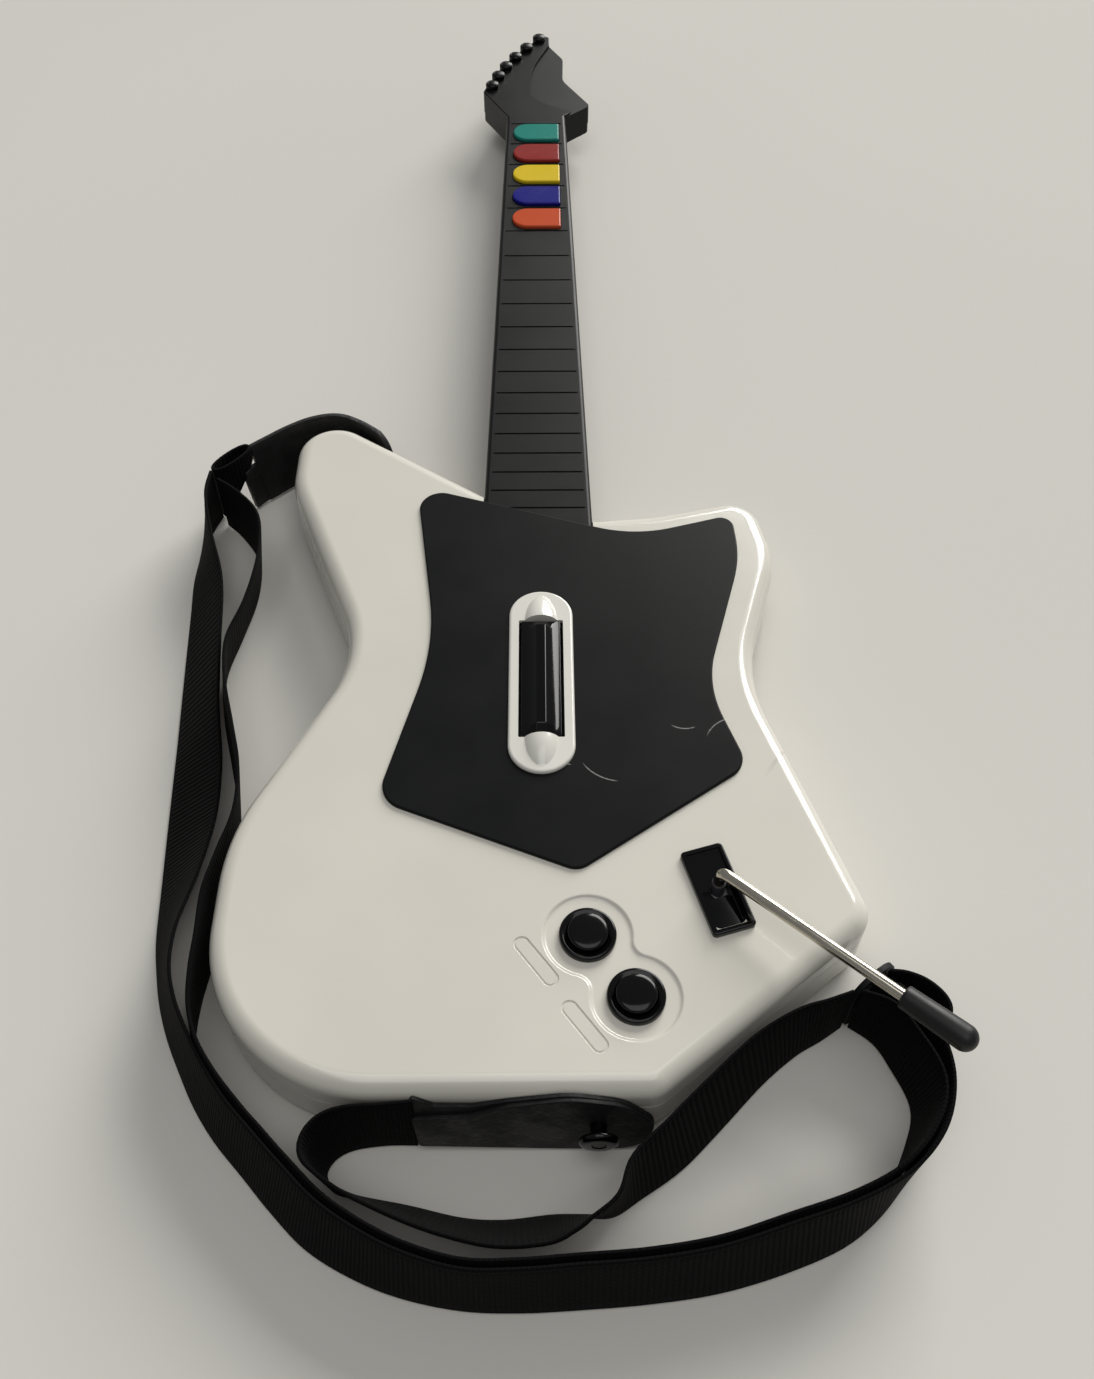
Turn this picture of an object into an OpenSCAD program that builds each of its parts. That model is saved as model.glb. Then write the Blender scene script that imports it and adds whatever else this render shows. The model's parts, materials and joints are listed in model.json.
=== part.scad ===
// Toy electric guitar: a guitar-shaped game controller with its shoulder strap, lying on its back.
// Millimetres. X runs across the body, Y towards the headstock, Z out of the front.
// The origin is on the flat back, under the middle of the strum bar.

/* [Body] */
// Thickness of the body from back to front
body_t = 42; // [41:0.5:46]
// Height above the back where the two shells meet
part_z = 24; // [23:0.5:26]
// Wall thickness of the moulded shells
wall = 2.5; // [2:0.25:3]
// Radius of the rounded front edge
front_round = 9; // [6:0.5:11]
// Radius of the rounded back edge
back_round = 4.5; // [3:0.5:6]
// Y of the straight bottom edge of the body
tail_y = -210.5; // [-216:0.5:-208]
// X of the body's left side at the tail
left_x = -148; // [-150:0.5:-144]
// X of the body's right corner
right_x = 151.5; // [148:0.5:154]
// Y of the sharp corner that the horn is rounded from
horn_y = 214; // [208:1:218]

/* [Pickguard] */
// Thickness of the pickguard
guard_t = 2; // [1.5:0.25:2.5]

/* [Neck] */
// Width of the neck at the nut
nut_w = 43.2; // [41:0.2:46]
// Width of the neck where it meets the body
join_w = 60.5; // [56:0.5:62]
// Y of the joint between neck and headstock
nut_y = 531.5; // [528:0.5:545]
// Y of the neck's end inside the body
heel_y = 105; // [103:0.5:108]
// Height of the neck's back above the floor
neck_z = 16; // [14:0.5:18]
// Height where the neck's two halves meet
neck_part_z = 26; // [25:0.5:28]
// Radius of the neck's front edges
neck_round = 2.5; // [1.5:0.5:3]
// Width of the fret grooves
groove_w = 1.3; // [0.8:0.1:1.8]
// Depth of the fret grooves
groove_d = 0.5; // [0.3:0.1:0.8]

/* [Fret buttons] */
// Width of a fret button across the neck
fret_w = 33; // [30:0.5:34]
// Length of a fret button along the neck
fret_l = 21; // [18:0.5:22]
// Distance from one fret button to the next
fret_pitch = 26.7; // [26:0.1:29]
// Height of the fret buttons above the neck
fret_proud = 2; // [1.5:0.25:3]
// Travel of a fret button
fret_travel = 1.8; // [1.2:0.1:2]

/* [Strum bar] */
// Length of the opening for the strum bar
strum_l = 74; // [70:0.5:78]
// Width of the opening for the strum bar
strum_w = 22.8; // [22:0.2:25]
// Length of the strum bar's bezel
strum_bezel_l = 114.7; // [112:0.5:120]
// Width of the strum bar's bezel
strum_bezel_w = 33; // [31:0.5:35]
// Diameter of the steel axle under the strum bar
strum_axle_d = 3; // [2.5:0.25:3.5]
// Tilt of the strum bar each way, in degrees
strum_tilt = 6; // [4:1:6]

/* [Select and start] */
// Diameter of a round button
round_d = 18; // [16:0.5:19]
// Diameter of the bezel round a round button
round_bezel_d = 25.5; // [24:0.5:27]
// Height of a round button above the body
round_proud = 5; // [4:0.5:6]
// Travel of a round button
round_travel = 1.5; // [1:0.1:1.6]
// Depth of the dish that the two round buttons stand in
dish_d = 1.3; // [0.8:0.1:1.5]

/* [Whammy bar] */
// Diameter of the whammy rod
rod_d = 5.3; // [4.5:0.1:5.6]
// Height of the rod's elbow above the back
elbow_z = 56; // [54:1:60]
// Length of the bare rod from the elbow to the grip
rod_reach = 94; // [85:1:98]
// Length of the whole arm from the elbow to the tip of the grip
arm_reach = 128; // [122:1:132]
// Diameter of the rubber grip
grip_d = 11.5; // [10:0.5:13]
// Rise of the arm above level, in degrees
arm_rise = 5.3; // [4:0.1:8]
// Width of the escutcheon round the whammy bar
esc_w = 20.4; // [20:0.2:22]
// Length of the escutcheon
esc_l = 44; // [42:0.5:48]
// Furthest tilt of the whammy bar, in degrees
whammy_tilt = 10; // [6:1:10]

/* [Batteries] */
// Diameter of a battery cell
cell_d = 14.2; // [13.8:0.1:14.5]
// Length of a battery cell
cell_l = 50.5; // [49:0.5:51]
// Width of the battery door across the body
door_w = 62; // [61:0.5:65]
// Length of the battery door along the body
door_l = 64; // [64:0.5:68]
// Thickness of the battery door
door_t = 2; // [1.5:0.25:2.25]

/* [Strap] */
// Width of the webbing
webbing_w = 38; // [36:0.5:38]
// Thickness of the webbing
webbing_t = 1.8; // [1.4:0.1:2]
// Thickness of one layer of the leather tabs
leather_t = 1.8; // [1.4:0.1:2]
// Height of the strap buttons above the back
strap_z = 20; // [19:0.5:20]
// Length of a strap button out of the wall
strap_button_l = 15; // [14.5:0.5:17]
// Diameter of a strap button's flange
strap_button_d = 17; // [15:0.5:18]

/* [Screws and fits] */
// Diameter of the body screws' shanks
screw_d = 2.8; // [2.5:0.1:3]
// Diameter of the screws' heads
screw_head_d = 5.6; // [5:0.1:6]
// Clearance round pieces that are set in an opening
fit = 0.3; // [0.2:0.05:0.4]
// Radial running clearance of a shaft in its bore
run = 0.05; // [0.03:0.01:0.08]

/* [Hidden] */
$fn = 32;

// Fineness of arcs in outlines and of rounded edges, in degrees.
arc_step = 9;
edge_step = 22.5;
// Overlap that lets one cut run clear through a face.
over = 1;

// Body outline: corners [x, y, radius], counter-clockwise. H and I flank the neck.
corner_h = [32, 118, 6];
corner_i = [-30, 138, 6];
corner_j = [-139.5, horn_y, 22];
body_corners = [
    [left_x, tail_y, 78], [50, tail_y, 14], [right_x, -131, 16], [106, 8, 90], [130, 88, 60],
    [121, 134, 18], [66, 121, 80], corner_h, corner_i, corner_j,
    [-140, 145, 60], [-92, 23, 70], [left_x + 1, -85, 110]];
guard_corners = [
    [18, -108, 10], [101, -51, 13], [84.5, -2, 70], [109.5, 85, 90], [107.5, 116.5, 7],
    [53, 101, 70], [-68, 140, 12], [-53, 25, 160], [-77, -69, 14]];
head_corners = [
    [nut_w / 2 - 3.7, nut_y - 3.5, 2], [40.5, nut_y + 17, 4], [20, nut_y + 52.5, 20], [21, nut_y + 83.5, 12],
    [10.5, nut_y + 102.5, 5], [10.5, nut_y + 115.5, 2.5], [4, nut_y + 115.5, 2], [-23, nut_y + 77.5, 100],
    [-40, nut_y + 33.5, 4], [2 - nut_w / 2, nut_y - 3.5, 2]];

// Heights that several pieces share.
ceiling_z = body_t - wall;
guard_z = body_t + guard_t;
bezel_t = 2;
bezel_z = guard_z + bezel_t;

// Screws through the back into the front shell, and the seat of their heads.
screw_places = [[-118, 172], [-86, 30], [-128, -110], [-95, -180], [0, -196], [96, -154], [97, 5], [107, 112]];
screw_seat_z = 8;
head_h = 2.4;
boss_d = 7.6;

// Neck.
join_y = 120;
neck_slope = (join_w - nut_w) / 2 / (nut_y - join_y);
fret_nut_gap = 25.2;
fret_first_y = nut_y - fret_nut_gap - 4 * fret_pitch;
fret_flange_z = ceiling_z - fit;
fret_flange_t = 2.4;
fret_lip = 1.5;
pad_dome_z = fret_flange_z - fret_flange_t - fret_travel - fit;
pad_dome_h = 1.4;
pad_t = 1.4;
board_t = 1.6;
fret_board_z = pad_dome_z - pad_dome_h - pad_t - board_t;
fret_board_l = 4 * fret_pitch + 26;
fret_board_w = 28;
dome_d = 9;
// Frets follow a scale whose far end lies under the body.
scale_end_y = -110;
scale_l = fret_first_y - fret_pitch / 2 - scale_end_y;
head_back_z = neck_z + 2;
heel_screws = [[-14, heel_y + 8], [14, heel_y + 8], [-14, heel_y + 22], [14, heel_y + 22]];
neck_screw_places = [[10, 190], [10, 290], [10, 372], [0, nut_y + 20]];
cable_x = -9;

// Strum bar.
strum_c = [1.5, 1.6];
strum_pivot_z = body_t - 5.5;
strum_bar_l = strum_l - 1;
guard_slot_l = strum_l + 18;
bump_w = 16.6;
bump_l = 17;
bump_h = 4.4;
function sagitta_r(half, rise) = (half * half + rise * rise) / (2 * rise);
strum_bar_w = strum_w - 2.8;
paddle_w = strum_bar_w - 2;
paddle_z = strum_pivot_z - 4;
paddle_t = 2;
strum_drop = paddle_w / 2 * sin(strum_tilt);
strum_floor_z = paddle_z - 4.5;
strum_floor_t = 2;
frame_in_w = strum_w + 2;
frame_in_l = strum_l + 1.2;
frame_wall = 3;
frame_lug = 8;
ear_x = frame_in_w / 2 + frame_wall + 4;
ear_y = frame_in_l / 2 - 6;

// Round buttons.
select_c = [21.4, -139.6];
start_c = [41.5, -168.9];
round_angle = atan2(start_c.y - select_c.y, start_c.x - select_c.x);
dish_r = 20;
dish_z = body_t - dish_d;
dish_under_z = ceiling_z - 1.5;
round_bezel_h = 3.6;
round_tube_r = round_d / 2 + fit;
round_tube_t = 1.9;
round_tube_z = dish_under_z - 1.5;
round_flange_z = round_tube_z - fit;
round_flange_t = 1.6;
round_dome_z = round_flange_z - round_flange_t - round_travel - fit;
round_board_z = round_dome_z - 1 - 1.2 - board_t;
round_board_l = 60;
round_board_w = 26;

// Whammy bar: its own frame is turned with the escutcheon. The post stands off the middle.
whammy_c = [80.4, -118];
whammy_turn = 16.5;
post_c = [1, 1.7];
whammy_pin_z = body_t - 12;
whammy_pin_d = 3;
carrier_r = 5;
carrier_top_z = ceiling_z - carrier_r * sin(whammy_tilt) - fit;
carrier_bottom_z = whammy_pin_z - 3.5;
ferrule_t = 0.6;
ferrule_r = rod_d / 2 + run + ferrule_t;
ferrule_z = carrier_top_z - 3;
ferrule_h = body_t + 4.5 - ferrule_z;
rod_bottom_z = whammy_pin_z + whammy_pin_d / 2 + 2;
grip_depth = 16;
arm_turn = -42.8 - whammy_turn;
lug_x = carrier_r + 1.2;
lug_t = 4;
slot_run = (body_t + 4 - whammy_pin_z) * tan(whammy_tilt);
esc_flange_t = 3;
esc_tray_w = esc_w - 5.8;
esc_tray_l = esc_l - 8;
foot_l = 10;
spring_z = 15;

// Batteries: four cells side by side under a flush door.
bay_c = [-24, -95];
bay_ledge = 2;
bay_top_z = door_t + cell_d + 1.6;
cell_pitch = cell_d + 0.4;
door_drop = 30;

// Power switch.
switch_c = [62, -60];
switch_travel = 4;
switch_recess = 1.8;
knob_l = 7;

// Boards.
main_board_z = 12;
main_board_c = [-51, 2];
main_board_size = [48, 84];
chip_w = 14;

// Strap buttons.
strap_post_r = 3.5;
strap_flange_t = 3;
strap_boss_l = 10;
lower_button_x = 24.5;
upper_button_run = 90;
edge_dir = unit([corner_j.x - corner_i.x, corner_j.y - corner_i.y]);
edge_normal = [edge_dir.y, -edge_dir.x];
upper_button_c = [corner_i.x, corner_i.y] + edge_dir * upper_button_run;
strap_hole_r = strap_post_r + fit;

// Strap: routes of the lower edge, as [x, y, lean]. The lean is in degrees, with the top towards
// the left of the way the strap runs.
tab_lean = 10;
floor_gap = 0.3;
tab_upper_route = [
    [-88, 181.5, -6], [-98, 190, -6], [-108, 196.5, -8], [-120, 200, -12], [-132, 197, -14],
    [-143, 189.5, -16], [-153, 181, -17], [-162, 173, -18]];
single_route = [
    [-52.5, -217.5, -8], [-66, -217.5, -6], [-80, -219.5, -8], [-88, -224, -10], [-91, -231, -10],
    [-86, -237.5, -8], [-76, -240, -14], [-55, -244, -22], [-33, -249, -26], [-15, -250, -30],
    [5, -248, -30], [18, -248, -20], [30, -248, -4], [42, -241, 12], [60, -229, 18], [78, -212, 18],
    [98, -192, 15], [114, -179, 10], [126, -172, 5], [136.4, -165.1, 0]];
outer_route = [
    [-188.6, 159.6, 0], [-194, 141, 8], [-197, 110, 25], [-195, 78, 37], [-192, 36, 40], [-189, -4, 43],
    [-187, -35, 50], [-185, -65, 50], [-183, -93, 42], [-181, -120, 31], [-178, -137, 23], [-174, -153, 18],
    [-168, -169, 16], [-160, -185, 16], [-151, -201, 17], [-140, -216, 17], [-126, -231, 17],
    [-113, -245, 18], [-97, -260, 18], [-78, -271, 16], [-57, -279, 13], [-32, -284, 10], [-8, -285, 11],
    [16, -284, 12], [44, -282, 12], [73, -278, 13], [102, -270, 14], [128, -259, 10], [148, -242, 0],
    [160, -223, -8], [166, -204, -10], [165, -187, -10], [159, -173, -8], [147.4, -159.2, 0]];
inner_start = [
    [-184, 153, 0], [-172, 140, 4], [-162, 122, 8], [-160, 94, 10], [-165, 64, 13], [-170, 36, 11],
    [-166, 8, 9], [-158, -22, 9], [-152, -46, 9], [-149.5, -70, 7], [-151.5, -92, 3], [-153.5, -113, 0],
    [-154, -135, 1], [-156, -152, 4], [-156, -170, 7], [-151, -187, 9], [-142.5, -203, 12],
    [-132, -217, 14]];
inner_end = [[156, -184, -8], [150, -173, -6], [140, -165, 0]];
// From here on the inner strand lies against the outer one.
nest_first = 16;
nest_last = 30;
nest_gap = 3.6;
inner_route = concat(inner_start,
    [for (i = [nest_first:nest_last]) beside(outer_route, i, nest_gap)], inner_end);
webbing_steps = 2;
loop_c = [-178.5, 170.5];
loop_turn = 48;
loop_size = [28, 10];
slider_c = [147, -157];
slider_turn = 37.4;
slider_size = [26, 3, 42];

// ---------------------------------------------------------------- helpers

function unit(v) = v / norm(v);

// One rounded corner at c between a and b: points with outward normals, [x, y, nx, ny].
function corner(a, c, b, r) =
    let (u = unit(a - c), v = unit(b - c),
         half = acos(u * v) / 2,
         bend = cross(c - a, b - c) >= 0 ? 1 : -1,
         mid = c + unit(u + v) * r / sin(half),
         t = c + u * r / tan(half) - mid,
         start = atan2(t.y, t.x),
         sweep = bend * (180 - 2 * half),
         steps = max(2, ceil(abs(sweep) / arc_step)))
    [for (i = [0:steps]) let (g = start + sweep * i / steps)
        [mid.x + r * cos(g), mid.y + r * sin(g), bend * cos(g), bend * sin(g)]];

function flat(p) = [p.x, p.y];

// A closed outline from corners [x, y, radius].
function rounded(cs) =
    let (n = len(cs))
    [for (i = [0:n - 1]) each corner(flat(cs[(i + n - 1) % n]), flat(cs[i]), flat(cs[(i + 1) % n]), cs[i][2])];

// The outline drawn in by inset, as plane points or at a height.
function inset2(o, inset = 0) = [for (p = o) [p[0] - p[2] * inset, p[1] - p[3] * inset]];
function level(o, z, inset = 0) = [for (p = inset2(o, inset)) [p.x, p.y, z]];

// Rings of a rounded edge that starts at z and inset, and goes up (way = 1) or down (way = -1).
function edge_rings(o, z, way, r, inset) =
    [for (a = [0:edge_step:90]) level(o, z + way * r * sin(a), inset + r * (1 - cos(a)))];
function backwards(list) = [for (i = [len(list) - 1:-1:0]) list[i]];

body_outline = rounded(body_corners);
guard_outline = rounded(guard_corners);
head_outline = rounded(head_corners);
head_hollow = rounded([[-24, nut_y + 34, 4], [-8, nut_y + 8, 4], [14, nut_y + 12, 4], [12, nut_y + 60, 6],
    [2, nut_y + 84, 4], [-8, nut_y + 74, 4]]);

// A closed skin over rings of equal length. The first ring faces down or back.
module loft(rings) {
    n = len(rings[0]);
    last = len(rings) - 1;
    sides = [for (k = [0:last - 1]) for (i = [0:n - 1]) let (j = (i + 1) % n, a = k * n, b = a + n)
        each [[a + i, b + i, b + j], [a + i, b + j, a + j]]];
    caps = [[for (i = [0:n - 1]) i], [for (i = [n - 1:-1:0]) last * n + i]];
    polyhedron([for (r = rings) each r], concat(caps, sides), convexity = 10);
}

// A closed ring of rings: the last joins the first.
module band(rings) {
    n = len(rings[0]);
    m = len(rings);
    faces = [for (k = [0:m - 1]) for (i = [0:n - 1]) let (j = (i + 1) % n, a = k * n, b = (k + 1) % m * n)
        each [[a + i, b + i, b + j], [a + i, b + j, a + j]]];
    polyhedron([for (r = rings) each r], faces, convexity = 10);
}

// A smooth curve through the points of a route, with extra points between them.
function smooth(route, steps) =
    let (last = len(route) - 1)
    concat([for (i = [0:last - 1]) for (k = [0:steps - 1])
        let (a = route[max(i - 1, 0)], b = route[i], c = route[i + 1], d = route[min(i + 2, last)],
             t = k / steps)
        (2 * b + (c - a) * t + (2 * a - 5 * b + 4 * c - d) * t * t + (3 * b - a - 3 * c + d) * t * t * t) / 2],
        [route[last]]);

function heading(route, i) =
    unit(flat(route[min(i + 1, len(route) - 1)]) - flat(route[max(i - 1, 0)]));

// The point of a route moved to its left, with the same lean.
function beside(route, i, gap) =
    let (h = heading(route, i))
    [route[i].x - h.y * gap, route[i].y + h.x * gap, route[i][2]];

// A strip that stands on its edge along a route.
module standing_strip(route, width, thick, lift = 0) {
    loft([for (i = [0:len(route) - 1])
        let (p = route[i], h = heading(route, i), left = [-h.y, h.x, 0],
             up = left * sin(p[2]) + [0, 0, cos(p[2])],
             face = (left * cos(p[2]) - [0, 0, sin(p[2])]) * thick / 2,
             foot = [p.x, p.y, floor_gap + lift + abs(face.z)])
        [foot - face, foot + face, foot + up * width + face, foot + up * width - face]]);
}

// A round wire or cable along 3-D points.
module wire(points, r, sides) {
    last = len(points) - 1;
    loft([for (i = [0:last])
        let (t = unit(points[min(i + 1, last)] - points[max(i - 1, 0)]),
             ref = abs(t.z) > 0.9 ? [1, 0, 0] : [0, 0, 1],
             s = unit(cross(ref, t)), u = cross(t, s))
        [for (k = [0:sides - 1]) points[i] + r * (s * cos(360 * k / sides) + u * sin(360 * k / sides))]]);
}

// A coil spring standing on the XY plane.
module coil(radius, wire_r, height, turns) {
    steps = 12;
    wire([for (i = [0:turns * steps])
        [radius * cos(360 * i / steps), radius * sin(360 * i / steps),
         wire_r + (height - 2 * wire_r) * i / turns / steps]], wire_r, 5);
}

module block(x0, x1, y0, y1, z0, z1) {
    translate([x0, y0, z0]) cube([x1 - x0, y1 - y0, z1 - z0]);
}

module post(place, d, z0, z1) {
    translate([place[0], place[1], z0]) cylinder(d = d, h = z1 - z0);
}

// A screw with its head down at the seat height.
module screw(place, seat, tip) {
    post(place, screw_head_d, seat - head_h, seat);
    post(place, screw_d, seat - 0.1, tip);
}

module slab(z0, z1) {
    translate([0, 0, z0]) linear_extrude(z1 - z0) children();
}

module round_rect(w, l, r) {
    polygon(inset2(rounded([[-w / 2, -l / 2, r], [w / 2, -l / 2, r], [w / 2, l / 2, r], [-w / 2, l / 2, r]])));
}

module stadium(w, l) {
    translate([0, -(l - w) / 2]) circle(d = w, $fn = 64);
    translate([0, (l - w) / 2]) circle(d = w, $fn = 64);
    square([w, l - w], center = true);
}

function neck_half(y) = nut_w / 2 + (nut_y - y) * neck_slope;

// The neck's plan between two places along it, wider by grow on each side.
module neck_plan(y0, y1, grow) {
    polygon([[-neck_half(y0) - grow, y0], [neck_half(y0) + grow, y0],
        [neck_half(y1) + grow, y1], [-neck_half(y1) - grow, y1]]);
}

module at_whammy() {
    translate([whammy_c.x, whammy_c.y, 0]) rotate(whammy_turn) children();
}

module at_post() {
    at_whammy() translate([post_c.x, post_c.y, 0]) children();
}

module at_strum() {
    translate([strum_c.x, strum_c.y, 0]) children();
}

module at_upper_button() {
    translate([upper_button_c.x, upper_button_c.y, strap_z])
        rotate([0, 90, atan2(edge_normal.y, edge_normal.x)]) children();
}

module at_lower_button() {
    translate([lower_button_x, tail_y, strap_z]) rotate([90, 0, 0]) children();
}

// ---------------------------------------------------------------- body

module front_shell_skin() {
    edge_z = body_t - front_round;
    difference() {
        slab(part_z, body_t) polygon(inset2(body_outline));
        band(concat([level(body_outline, edge_z, -over), level(body_outline, body_t + over, -over),
            level(body_outline, body_t + over, front_round)],
            backwards(edge_rings(body_outline, edge_z, 1, front_round, 0))));
        // The inside steps in under the rounded edge.
        for (step = [[edge_z + 1.5, 0], [edge_z + 4, 1.2], [ceiling_z, 3.2]])
            slab(part_z - over, step[0]) polygon(inset2(body_outline, wall + step[1]));
    }
}

// Walls that box in the end of the neck.
module neck_pocket() {
    intersection() {
        slab(part_z, ceiling_z + 0.5) neck_plan(heel_y - fit - wall, join_y + 20, fit + wall);
        slab(part_z, body_t) polygon(inset2(body_outline, wall / 2));
    }
}

module label_recess(place, l) {
    translate([place.x, place.y, body_t - 0.4]) rotate(37) linear_extrude(over) stadium(7.5, l);
}

module front_shell() color([0.92, 0.91, 0.87]) {
    difference() {
        union() {
            front_shell_skin();
            neck_pocket();
            for (p = screw_places) post(p, boss_d, part_z, ceiling_z + 0.5);
            for (x = [-ear_x, ear_x]) for (y = [-ear_y, ear_y])
                post([strum_c.x + x, strum_c.y + y], 6, strum_floor_z, ceiling_z + 0.5);
            post(select_c, 2 * dish_r + 4, dish_under_z, ceiling_z + 0.5);
            post(start_c, 2 * dish_r + 4, dish_under_z, ceiling_z + 0.5);
            at_post() for (x = [-lug_x - lug_t, lug_x])
                block(x, x + lug_t, -4.5, 4.5, whammy_pin_z - 4, ceiling_z + 0.5);
        }
        for (p = screw_places) post(p, screw_d + 0.2, part_z - over, ceiling_z - 3);
        for (x = [-ear_x, ear_x]) for (y = [-ear_y, ear_y])
            post([strum_c.x + x, strum_c.y + y], screw_d + 0.2, strum_floor_z - over, ceiling_z - 1);
        slab(part_z - over, body_t + over) neck_plan(heel_y - fit, join_y + 40, fit);
        translate([cable_x, heel_y - 10, neck_part_z + 2]) rotate([-90, 0, 0]) cylinder(r = 3, h = 12);
        at_strum() slab(ceiling_z - over, body_t + over) stadium(strum_w + 1.6, strum_l + 1.6 + strum_w / 2);
        for (p = [select_c, start_c]) {
            post(p, 2 * dish_r, dish_z, body_t + over);
            post(p, 2 * (round_tube_r + round_tube_t + fit), dish_under_z - over, body_t + over);
        }
        label_recess([-1.5, -152], 28);
        label_recess([19, -182.2], 28);
        at_whammy() slab(ceiling_z - over, body_t + over)
            round_rect(esc_tray_w + 2 * fit, esc_tray_l + 2 * fit, 3);
        at_post() translate([-lug_x - lug_t - over, 0, whammy_pin_z]) rotate([0, 90, 0])
            cylinder(d = whammy_pin_d, h = 2 * (lug_x + lug_t + over));
    }
}

module back_shell_skin() {
    outer = edge_rings(body_outline, back_round, -1, back_round, 0);
    inner = edge_rings(body_outline, back_round, -1, back_round - wall + 0.5, wall);
    floor_ring = [level(body_outline, wall, back_round + 0.5)];
    loft(concat(backwards(outer), [level(body_outline, part_z), level(body_outline, part_z, wall)],
        [level(body_outline, back_round + 0.5, wall)], floor_ring));
}

module back_shell() color([0.92, 0.91, 0.87]) {
    difference() {
        union() {
            back_shell_skin();
            for (p = screw_places) post(p, boss_d + 2, wall - 0.5, part_z);
            for (p = heel_screws) post(p, boss_d + 2, wall - 0.5, neck_z - fit);
            translate([bay_c.x, bay_c.y, wall - 0.5])
                slab(0, bay_top_z + 0.5) square([door_w + 2 * wall, door_l + 2 * wall], center = true);
            for (x = [-1, 1]) translate([(select_c.x + start_c.x) / 2, (select_c.y + start_c.y) / 2, 0])
                rotate(round_angle) post([x * (round_board_l / 2 - 4), 0], 6, wall - 0.5, round_board_z);
            for (x = [-1, 1]) for (y = [-1, 1])
                post(main_board_c + [x * (main_board_size.x / 2 - 4), y * (main_board_size.y / 2 - 4)],
                    6, wall - 0.5, main_board_z);
            at_post() block(-6, 6, -foot_l - 5, -foot_l + 7, wall - 0.5, spring_z);
            translate([switch_c.x, switch_c.y, 0])
                block(-10, 10, -6.5, 6.5, wall - 0.5, switch_recess + wall);
            at_upper_button() strap_boss(2 * (part_z - strap_z - 0.2), -1);
            at_lower_button() strap_boss(2 * (part_z - strap_z - 0.2), -1);
        }
        for (p = screw_places) screw_well(p, part_z);
        for (p = heel_screws) screw_well(p, neck_z);
        slab(neck_z - fit, part_z + over) neck_plan(heel_y - fit, join_y + 40, fit);
        translate([bay_c.x, bay_c.y, 0]) {
            slab(-over, door_t + 0.15) square([door_w + 2 * fit, door_l + 2 * fit], center = true);
            slab(0, bay_top_z) square([door_w - 2 * bay_ledge, door_l - 2 * bay_ledge], center = true);
        }
        translate([switch_c.x, switch_c.y, 0]) {
            block(-9, 9, -5, 5, -over, switch_recess);
            block(-1.6 - switch_travel / 2, 1.6 + switch_travel / 2, -1.6, 1.6, 0, 6);
        }
        at_upper_button() strap_boss(screw_d + 0.1, over);
        at_lower_button() strap_boss(screw_d + 0.1, over);
    }
}

// The boss behind a strap button, or the bore through it where it reaches past both ends.
module strap_boss(d, past) {
    back = -strap_boss_l - max(past, 0);
    translate([0, 0, back]) cylinder(d = d, h = past - back);
}

// A wide well for a screw's head and a clear hole above it.
module screw_well(p, top) {
    post(p, screw_head_d + 1, -over, screw_seat_z);
    post(p, screw_d + 0.5, 0, top + over);
}

module pickguard() color([0.13, 0.14, 0.14]) {
    difference() {
        union() {
            slab(body_t, guard_z - 0.6) polygon(inset2(guard_outline));
            slab(guard_z - 0.7, guard_z) polygon(inset2(guard_outline, 0.6));
        }
        at_strum() slab(body_t - over, guard_z + over) stadium(strum_w + 1, guard_slot_l);
    }
}

module body_screws() color([0.2, 0.2, 0.21]) {
    for (p = screw_places) screw(p, screw_seat_z, ceiling_z - 6);
}

// ---------------------------------------------------------------- strum bar

// The pointed bump at each end of the strum bar: a turned ogive, sunk to its sides.
module strum_bump(side) {
    hoop_r = sagitta_r(bump_w / 2, bump_h);
    side_r = sagitta_r(bump_l, bump_h);
    intersection() {
        translate([0, side * strum_l / 2, bezel_z + bump_h - hoop_r]) rotate([side * -90, 0, 0])
            rotate_extrude($fn = 72) intersection() {
                translate([hoop_r - side_r, 0]) circle(r = side_r, $fn = 160);
                square([hoop_r, bump_l + 1]);
            }
        slab(bezel_z - 0.4, bezel_z + bump_h + 1) square(3 * strum_bezel_l, center = true);
    }
}

module strum_bezel() color([0.93, 0.92, 0.88]) {
    at_strum() difference() {
        union() {
            slab(guard_z, bezel_z - 0.5) stadium(strum_bezel_w, strum_bezel_l);
            slab(bezel_z - 0.6, bezel_z) stadium(strum_bezel_w - 1, strum_bezel_l - 1);
            for (side = [-1, 1]) strum_bump(side);
        }
        slab(guard_z - over, bezel_z + bump_h + 1) square([strum_w, strum_l], center = true);
    }
}

// Across the strum bar: a flat foot, concave flanks and a narrow ridge, about the pivot.
function flank(side) = [for (k = [0:8]) let (t = side > 0 ? k / 8 : 1 - k / 8)
    [side * (strum_bar_w / 2 - (strum_bar_w / 2 - 2.2) * t), 9.2 + 4.3 * pow(t, 1.7)]];
strum_section = concat([[-strum_bar_w / 2, 4.4], [strum_bar_w / 2, 4.4]], flank(1), flank(-1));

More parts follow.
